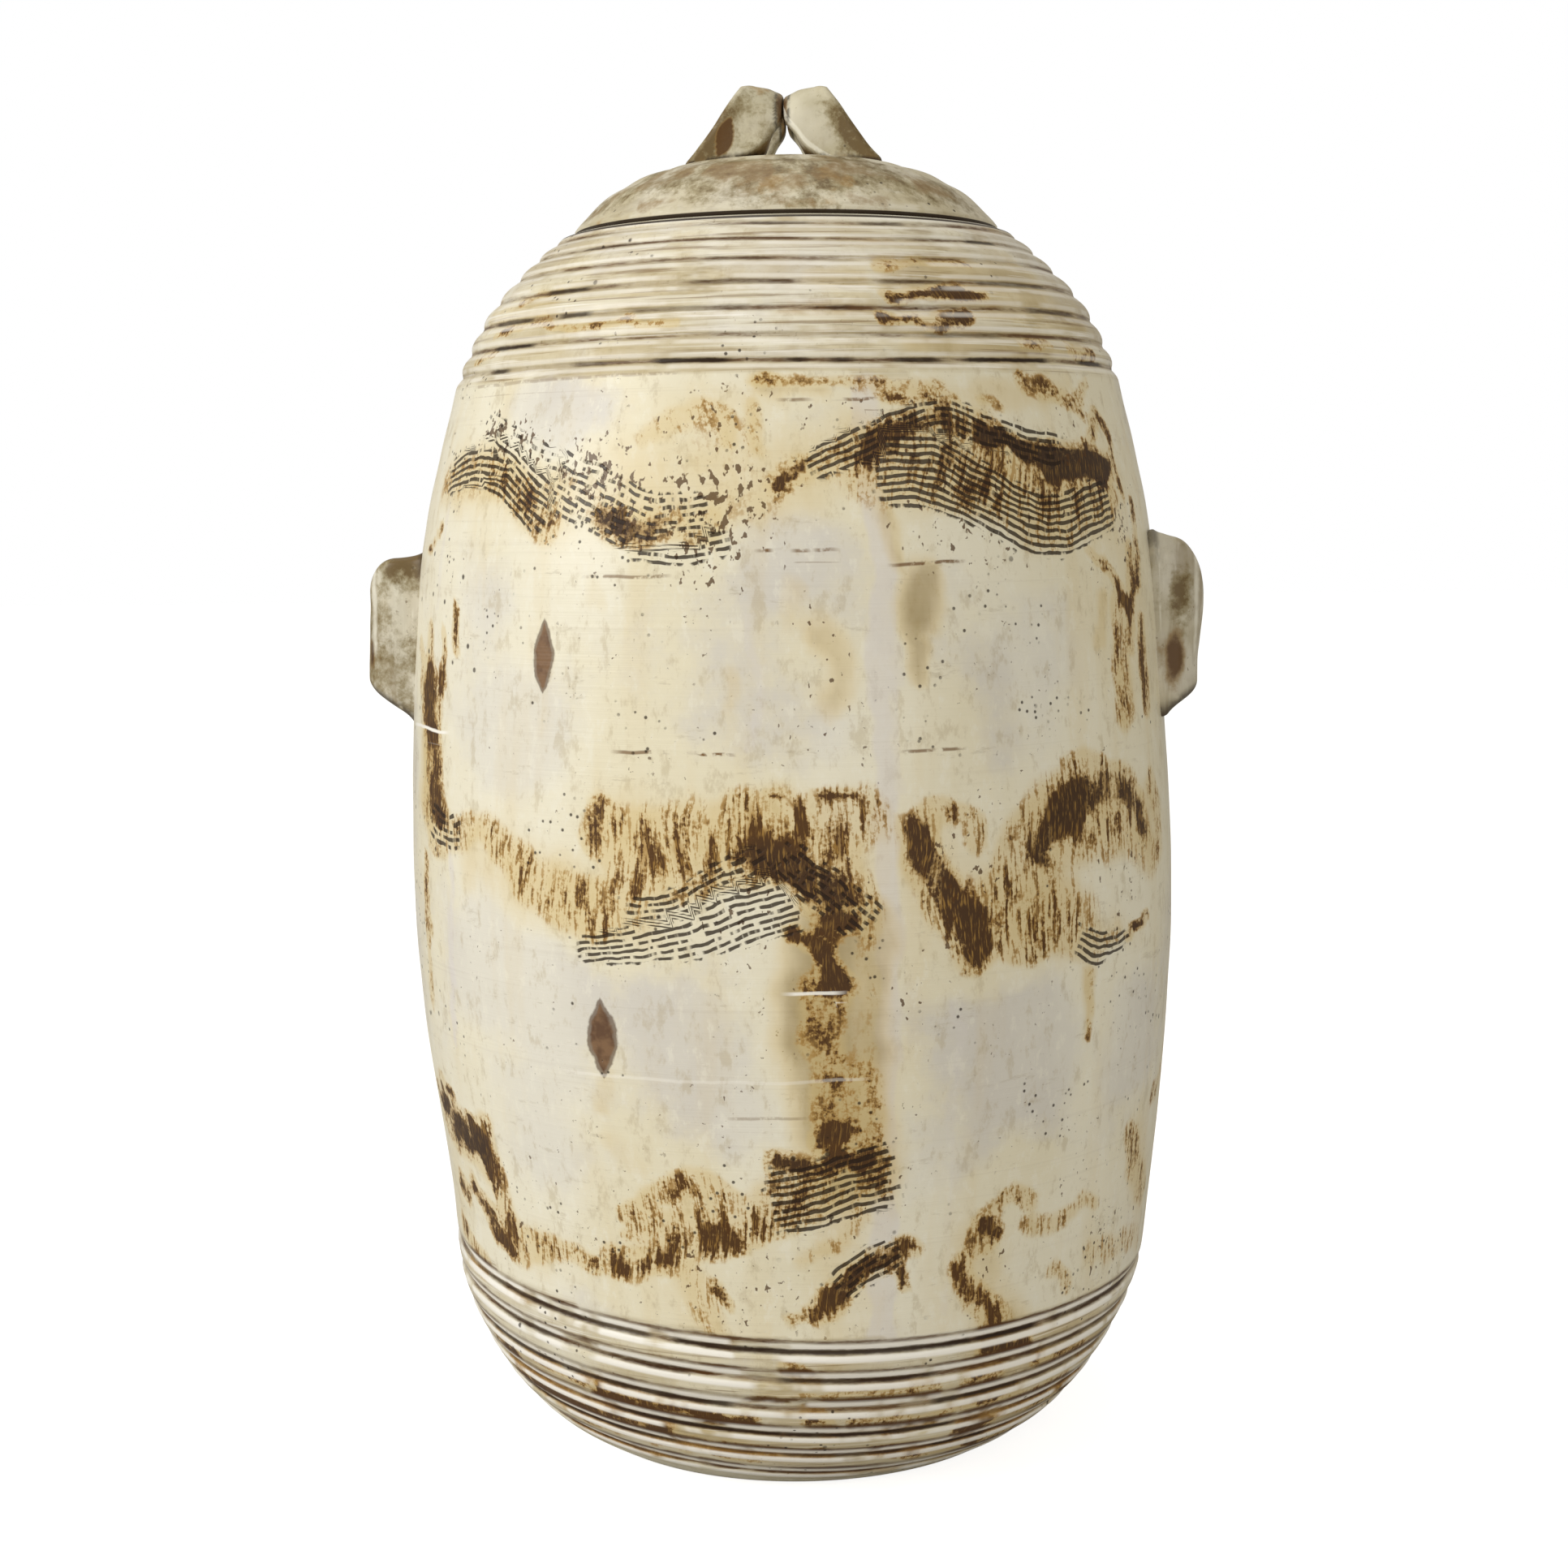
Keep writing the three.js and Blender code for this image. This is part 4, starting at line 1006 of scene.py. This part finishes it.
def lidOutline():
    s = lidShape
    seat, foot, outer = lidSeat / mm, flangeFoot / mm, flangeRadius / mm
    hollow = outer - s["flange"]
    under = [(hollow * math.cos(a), seat + s["hollow"] * math.sin(a)) for a in np.linspace(math.pi / 2, 0.1, 14)]
    under[0] = (0, seat + s["hollow"])
    ring = [(hollow, seat - 2), (hollow, foot + 3), (hollow + 0.4, foot + 1), (hollow + 1.4, foot),
            (outer - 1.4, foot), (outer - 0.4, foot + 1), (outer, foot + 3), (outer, seat - 1), (outer + 0.8, seat)]
    edge = [(71.0, seat), (71.8, seat + 0.2), (72.3, seat + 0.8), (72.4, seat + 1.5)]
    top = [(float(r), seat + float(rise)) for r, rise in smoothRun(s["crown"], 6)]
    return [(r * mm, z * mm) for r, z in under + ring + edge + top]


def makeLid():
    lid = turnPot("lid_skin", lidOutline(), lidShape["sides"])
    points = getPoints(lid)
    radius = np.hypot(points[:, 0], points[:, 1]) / mm
    height = points[:, 2] / mm
    seat = lidSeat / mm
    outer = (height > seat + 0.1) & ((radius > 54) | (height > domeHeight(radius) - 3))
    lift = 0.30 * np.sin(radius / 1.9) * smoothStep(30, 44, radius) + 0.3 * swells(points, 15, 4)[:, 0]
    points[:, 2] += np.where(outer, lift * smoothStep(seat, seat + 5, height), 0) * mm
    setPoints(lid, points)
    keep(lid, "edge", np.zeros(len(points)))
    keep(lid, "seam", np.where(outer, smoothStep(seat + 1.5, seat + 0.8, height), 0))
    decorate(lid, outer, height, angleOf(points), lidStrokes, soaked=lidStains)
    return lid


# Ears and knob loops are strips of clay, bent

# a strip extruded from its root, spun over into the span, and spun back down to its other root
def bendStrip(name, start, heading, width, thickness, leg, bend, span):
    deselectAll()
    sideways = Vector((0, 1, 0))
    turn = Matrix((sideways.cross(heading), sideways, heading)).transposed().to_euler()
    bpy.ops.mesh.primitive_grid_add(x_subdivisions=10, y_subdivisions=2, size=1, location=start, rotation=turn)
    strip = bpy.context.object
    strip.name = name
    strip.scale = (width, thickness, 1)
    bpy.ops.object.transform_apply(location=True, rotation=True, scale=True)
    bpy.ops.object.mode_set(mode="EDIT")
    axis = sideways.cross(heading)
    firstBend = start + heading * leg + sideways * bend
    lastBend = start + heading * leg + sideways * (span - bend)
    cuts = 4
    for reach, centre in ((heading * leg, firstBend), (sideways * (span - 2 * bend), lastBend), (-heading * leg, None)):
        for _ in range(cuts):
            bpy.ops.mesh.extrude_region_move(TRANSFORM_OT_translate={"value": reach / cuts})
        if centre is not None:
            bpy.ops.mesh.spin(steps=6, angle=math.pi / 2, center=centre, axis=axis)
    bpy.ops.mesh.select_all(action="SELECT")
    bpy.ops.mesh.remove_doubles(threshold=0.00001)
    bpy.ops.mesh.normals_make_consistent(inside=False)
    bpy.ops.object.mode_set(mode="OBJECT")
    edges = strip.modifiers.new("round_edges", "BEVEL")
    edges.width = thickness * 0.36
    edges.segments = 3
    edges.limit_method = "ANGLE"
    edges.angle_limit = math.radians(50)
    soft = strip.modifiers.new("soften", "SUBSURF")
    soft.levels = soft.render_levels = 2
    bpy.ops.object.modifier_apply(modifier="round_edges")
    bpy.ops.object.modifier_apply(modifier="soften")
    bpy.ops.object.shade_smooth()
    return strip


earShape = {
    "middle": 276.5, "depth": 58, "span": 56, "thickness": 7.6, "bend": 8.5, "sink": 6,
    # heights of the upper and lower edge at the wall and at the tip, and how round the tip's corners are
    "left": {"rootTop": 306.3, "rootBottom": 250.0, "tipTop": 305.6, "tipBottom": 261.0, "corner": 12, "round": 0.40,
             "short": 0.2, "skew": 1.5, "leaf": 0.1, "outerLeaf": 1.0, "film": 0.85, "smudge": 0.0},
    "right": {"rootTop": 310.6, "rootBottom": 251.3, "tipTop": 307.6, "tipBottom": 257.8, "corner": 17, "round": 0.25,
              "short": 3.8, "skew": -1.9, "leaf": 0.95, "outerLeaf": 0.0, "film": 0.10, "smudge": 0.8},
}


def makeEar(word, side):
    e, own = earShape, earShape[word]
    half = (e["span"] - e["thickness"]) / 2
    face = math.sqrt(float(jarRadius(e["middle"])) ** 2 - half ** 2)
    tip = earTip / mm - e["thickness"] / 2 - own["short"]
    leg = tip - e["bend"] - (face - e["sink"])
    start = Vector((side * (face - e["sink"]), -half, e["middle"])) * mm
    ear = bendStrip(word + "_ear_skin", start, Vector((side, 0, 0)), e["depth"] * mm, e["thickness"] * mm,
                    leg * mm, e["bend"] * mm, 2 * half * mm)
    points = getPoints(ear) / mm
    outer = tip + e["thickness"] / 2
    share = np.clip((np.abs(points[:, 0]) - face) / (outer - face), 0, 1)
    rounding = 1 - np.sqrt(1 - np.clip((share - own["round"]) / (1 - own["round"]), 0, 1) ** 2)
    top = own["rootTop"] + (own["tipTop"] - own["rootTop"]) * share - own["corner"] * rounding
    bottom = own["rootBottom"] + (own["tipBottom"] - own["rootBottom"]) * share + 2 * rounding
    level = (points[:, 2] - e["middle"]) / e["depth"] + 0.5
    points[:, 2] = bottom + (top - bottom) * level
    points[:, 0] += side * own["skew"] * smoothStep(0.85, 0.1, level) * share
    # the clay is smeared out onto the wall at both roots
    off = np.hypot(points[:, 0], points[:, 1]) - jarRadius(points[:, 2])
    flare = 1.8 * np.exp(-np.maximum(off, 0) / 2.2)
    apart = np.abs(points[:, 1]) - half
    points[:, 1] += flare * np.sign(apart) * np.sign(points[:, 1]) * smoothStep(0, 2, np.abs(apart))
    points[:, 2] += flare * np.sign(level - 0.5) * smoothStep(0.40, 0.5, np.abs(level - 0.5))
    points += 0.5 * swells(points * mm, 42, 7 + side) + 0.12 * swells(points * mm, 160, 9)
    setPoints(ear, points * mm)
    outwards = outer - np.abs(points[:, 0])
    front = smoothStep(-half + 6, -half, points[:, 1])
    # edge: painted shade along the ear's rounded outer end and under its lower edge, and darker at its top root
    strip = smoothStep(2.6, 0.6, outwards) * bell(level, 0.38, 0.20) * front
    under = 0.9 * smoothStep(4.5, 0.8, level * e["depth"])
    topDark = 0.7 * smoothStep(2.5, 0.5, off) * smoothStep(0.8, 1.0, level)
    keep(ear, "edge", np.maximum(np.maximum(strip, under), topDark))
    leaf = 1.2 * own["leaf"] * smoothStep(1.3, 0.2, np.hypot((share - 0.30) / 0.34, (level - 0.28) / 0.22))
    outerLeaf = own["outerLeaf"] * smoothStep(1.1, 0.5, np.hypot((share - 0.93) / 0.12, (level - 0.30) / 0.16))
    keep(ear, "washAndShade", np.maximum(leaf, outerLeaf) * front)
    topRoot = smoothStep(0.70, 0.95, level) * bell(share, 0.12, 0.35)
    smudge = own["smudge"] * bell(share, 0.40, 0.30) * bell(level, 0.68, 0.20)
    keep(ear, "stainAndShade", own["film"] * (0.6 + topRoot) + smudge)
    # pale: a painted highlight over the ear's rounded outer end
    keep(ear, "pale", 0.7 * smoothStep(5.5, 3.0, outwards) * smoothStep(0.15, 0.35, level) * front)
    keep(ear, "seam", np.zeros(len(points)))
    return ear


knobShape = {
    "width": 18.7, "thickness": 7.6, "span": 41, "bend": 10.5, "lean": 36, "sink": 9,
    "crestTilt": 24,        # the crest lies flatter than the legs lean
    "crease": 2.6,          # how deep the joint between the two loops is
    # from the axis to the middle of the crest, how far the crest is pressed down, how much of a front leg's face is
    # left at the foot, and the iron spot, olive edge, film (heavier on the left loop as painted shade) and rim (a
    # painted highlight along the inner edge) on each loop
    "left": {"crestIn": 5.9, "down": 0.5, "faceLeft": 0.52, "spot": 1.3, "olive": 0.8, "film": 0.34, "rim": 0.2},
    "right": {"crestIn": 6.8, "down": 1.3, "faceLeft": 0.62, "spot": 0.0, "olive": 1.0, "film": 0.10, "rim": 1.0},
}


def makeKnobLoop(word, side):
    k = knobShape
    lean = math.radians(k["lean"])
    up = Vector((-side * math.sin(lean), 0, math.cos(lean)))
    across = Vector((side * math.cos(lean), 0, math.sin(lean)))
    half = (k["span"] - k["thickness"]) / 2
    crest = Vector((side * k[word]["crestIn"], 0,
                    knobTop / mm - k["width"] / 2 * across.z - k["thickness"] / 2 * up.z + 1.2))
    rise = (crest.z - lidTop / mm + k["sink"]) / up.z
    start = crest - up * rise - Vector((0, half, 0))
    loop = bendStrip(word + "_knob_skin", start * mm, up, k["width"] * mm, k["thickness"] * mm,
                     (rise - k["bend"]) * mm, k["bend"] * mm, 2 * half * mm)
    points = getPoints(loop) / mm
    inward = 0.5 - (points - np.array(crest)) @ np.array(across) / k["width"]     # 0 at the outer edge, 1 at the inner
    climb = np.clip((points - np.array(start)) @ np.array(up) / rise, 0, 1.2)
    # the crest is laid over flatter, and the front legs are cut back at their inner side
    lay = (math.tan(lean) - math.tan(math.radians(k["crestTilt"]))) * k["width"] * math.cos(lean)
    points[:, 2] += lay * np.clip(inward - 0.15, 0, 1) * smoothStep(0.55, 0.95, climb)
    edge = k[word]["faceLeft"] + (1 - k[word]["faceLeft"]) * smoothStep(0.05, 0.78, climb)
    points[:, 1] += 7 * smoothStep(edge - 0.02, edge + 0.09, inward) * smoothStep(0, -3, points[:, 1])
    # both loops are pressed flat against each other at the axis, with a crease between them
    aside = side * points[:, 0] - 2.4 * smoothStep(0.55, 0.95, inward) * smoothStep(0.70, 0.88, climb)
    pressed = 0.25 + 0.8 * np.log1p(np.exp(np.clip((aside - 0.25) / 0.8, -40, 40)))
    crease = k["crease"] * np.exp(-pressed / 2.0)
    points[:, 1] -= crease * np.sign(points[:, 1]) * smoothStep(0, 4, np.abs(points[:, 1]))
    points[:, 0] = side * pressed
    ground = domeHeight(np.hypot(points[:, 0], points[:, 1]))
    points[:, 2] = np.maximum(points[:, 2], ground - 5)
    off = np.maximum(points[:, 2] - ground, 0)
    flare = 1.1 * np.exp(-off / 3.0)
    points += (flare * 2 * np.clip(0.5 - inward, 0, 0.5))[:, None] * np.array((side, 0, 0))
    points[:, 1] += flare * 0.7 * np.sign(points[:, 1]) * np.sign(np.abs(points[:, 1]) - half)
    points += 0.45 * swells(points * mm, 60, 12 + side) * smoothStep(0, 3, pressed)[:, None]
    points += 0.12 * swells(points * mm, 190, 14)
    points[:, 2] -= 0.62 * np.maximum(points[:, 2] - (points[:, 2].max() - 3.4), 0)     # blunts the top corner
    points[:, 2] += (knobTop / mm - k[word]["down"] - points[:, 2].max()) * smoothStep(0.4, 0.9, climb)
    setPoints(loop, points * mm)
    front = smoothStep(3, -3, points[:, 1])
    # painted shade beside the crease between the loops, and a dark line where each loop meets the lid
    outline = smoothStep(2.9, 2.3, pressed) * smoothStep(1.2, 1.8, pressed) * smoothStep(0.45, 0.6, climb)
    keep(loop, "edge", np.maximum(smoothStep(1.6, 0.2, off), 0.9 * outline))
    keep(loop, "seam", np.zeros(len(points)))
    # the spot is a leaf that leans inwards as it goes down
    leafAcross = (inward - 0.30 + 0.5 * (climb - 0.46)) / 0.17
    leafUp = (climb - 0.46) / 0.20
    spot = smoothStep(1.25, 0.75, np.abs(leafAcross) + leafUp * leafUp) * k[word]["spot"]
    # painted shade, with some clumped glaze, in the gap where the two loops meet
    creaseShadeAndClumps = 0.85 * smoothStep(2.2, 1.2, pressed) * smoothStep(0.45, 0.6, climb)
    # painted shade on the cut-back facet at each front leg's inner side
    cutFacetShade = smoothStep(edge - 0.02, edge + 0.10, inward) * smoothStep(0.95, 0.75, climb)
    iron = np.maximum(np.maximum(spot * (0.4 + 0.6 * front), creaseShadeAndClumps), 0.75 * cutFacetShade * front)
    # the iron spot, painted shade in the gap and on the cut-back facet, and darker near the feet
    keep(loop, "washAndShade", iron + 0.25 * smoothStep(4, 0, off))
    olive = k[word]["olive"] * bell(inward, 0.15, 0.25) * smoothStep(1.0, 0.5, climb)
    # painted shade on the cut-back facet, the olive edge, and a film whose extra weight on the left loop is painted
    # shade
    keep(loop, "stainAndShade", np.maximum(1.4 * cutFacetShade * front, olive) + k[word]["film"])
    # painted highlight along each front leg's inner edge, where the facet begins
    keep(loop, "pale", k[word]["rim"] * bell(inward, edge - 0.07, 0.06) * smoothStep(0.1, 0.3, climb) * front)
    return loop


# Everything together

print("jar")
jar = turnPot("jar_skin", jarOutline(), jarShape["sides"])
outer, height, angle = throwJar(jar)
decorate(jar, outer, height, angle, washStrokes, combStrokes, grooveDashes, bareSpots, hairCracks, stains, paleRuns,
         spatter, coolPatches)
clay = bareClay()
dress(jar, jarGlaze(), clay)
bareWhere(jar, lambda c: c.z < 0.0006)
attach(jar, "jar")
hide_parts("jar_base", "jar_wall", "mouth_ring")
print("jar skin has", len(jar.data.polygons), "faces")

print("lid")
lid = makeLid()
dress(lid, wipedGlaze("lid_glaze"), clay)
bareWhere(lid, lambda c: c.z < lidSeat + 0.0001 or (math.hypot(c.x, c.y) < flangeRadius and c.z < lidSeat + 0.002))
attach(lid, "lid")
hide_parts("lid_dome", "lid_flange")

print("ears and knob")
earGlaze = wipedGlaze("ear_glaze")
knobGlaze = wipedGlaze("knob_glaze")
for side, word in ((-1, "left"), (1, "right")):
    ear = makeEar(word, side)
    dress(ear, earGlaze)
    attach(ear, "jar")
    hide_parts(word + "_ear")
    loop = makeKnobLoop(word, side)
    dress(loop, knobGlaze)
    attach(loop, "lid")
    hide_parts(word + "_knob_loop")


# Floor, light and camera

cameraPlace = {
    "turn": 3.3,            # degrees round the jar, towards the right ear
    "distance": 0.830, "sideways": -0.0032, "height": 0.3238,
    "tilt": 6.85, "roll": -0.75,
    "focal": 2910 / 1932,   # of the picture's width
}


def makeCamera():
    p = cameraPlace
    camera = bpy.data.objects.new("camera", bpy.data.cameras.new("camera"))
    bpy.context.scene.collection.objects.link(camera)
    camera.data.sensor_width = 36
    camera.data.lens = 36 * p["focal"]
    camera.data.clip_start = 0.01
    turned = Matrix.Rotation(math.radians(p["turn"]), 4, "Z")
    place = turned @ Matrix.Translation((p["sideways"], -p["distance"], p["height"]))
    aimed = Matrix.Rotation(math.radians(90 - p["tilt"]), 4, "X") @ Matrix.Rotation(math.radians(p["roll"]), 4, "Z")
    camera.matrix_world = place @ aimed
    bpy.context.scene.camera = camera


floorPaper = {"size": 14, "tones": ((0.56, 0.55, 0.53), (0.60, 0.59, 0.57)), "glow": 0.83}


# pale paper that looks white to the eye but still takes the jar's shadow
def makeFloor():
    deselectAll()
    bpy.ops.mesh.primitive_plane_add(size=floorPaper["size"], location=(0, 0, 0))
    floor = bpy.context.object
    floor.name = "floor"
    f = Finish("floor_paper")
    fleck = f.cloud(400, 2)
    f.feed(f.shader.inputs["Base Color"], f.blend(fleck, *floorPaper["tones"]))
    f.shader.inputs["Roughness"].default_value = 0.9
    f.shader.inputs["Specular IOR Level"].default_value = 0.0
    glow = f.node("ShaderNodeEmission")
    glow.inputs["Color"].default_value = (1, 1, 1, 1)
    rays = f.node("ShaderNodeLightPath")
    seen = f.most(rays.outputs["Is Camera Ray"], rays.outputs["Is Transmission Ray"])
    f.feed(glow.inputs["Strength"], seen * floorPaper["glow"])
    both = f.node("ShaderNodeAddShader")
    f.feed(both.inputs[0], f.shader.outputs[0])
    f.feed(both.inputs[1], glow.outputs[0])
    f.feed(f.tree.nodes["Material Output"].inputs["Surface"], both.outputs[0])
    dress(floor, f.material)


roomLight = {"colour": (1, 0.94, 0.81, 1), "strength": 0.43}


# soft room light that looks white to the camera
def makeWorld():
    world = bpy.data.worlds.new("studio")
    bpy.context.scene.world = world
    world.use_nodes = True
    nodes, links = world.node_tree.nodes, world.node_tree.links
    soft = nodes["Background"]
    soft.inputs["Color"].default_value = roomLight["colour"]
    soft.inputs["Strength"].default_value = roomLight["strength"]
    seen = nodes.new("ShaderNodeBackground")
    seen.inputs["Color"].default_value = (1, 1, 1, 1)
    path, pick, either = nodes.new("ShaderNodeLightPath"), nodes.new("ShaderNodeMixShader"), nodes.new("ShaderNodeMath")
    either.operation = "MAXIMUM"
    links.new(path.outputs["Is Camera Ray"], either.inputs[0])
    links.new(path.outputs["Is Transmission Ray"], either.inputs[1])
    links.new(either.outputs[0], pick.inputs[0])
    links.new(soft.outputs[0], pick.inputs[1])
    links.new(seen.outputs[0], pick.inputs[2])
    links.new(pick.outputs[0], nodes["World Output"].inputs["Surface"])


lamps = {
    "key": {"place": (-1.6, -1.0, 1.0), "size": 1.1, "power": 23.5},
    "fill": {"place": (1.0, -1.9, 0.7), "size": 1.6, "power": 11},
    "top": {"place": (-0.2, 0.2, 1.8), "size": 1.2, "power": 5},
}


def makeLamps():
    for name, lamp in lamps.items():
        data = bpy.data.lights.new(name, "AREA")
        data.size = lamp["size"]
        data.energy = lamp["power"]
        made = bpy.data.objects.new(name, data)
        bpy.context.scene.collection.objects.link(made)
        made.location = lamp["place"]
        made.rotation_mode = "QUATERNION"
        made.rotation_quaternion = (Vector((0, 0, 0.22)) - Vector(lamp["place"])).to_track_quat("-Z", "Y")


print("studio")
makeCamera()
makeFloor()
makeWorld()
makeLamps()
bpy.context.scene.view_settings.view_transform = "Standard"
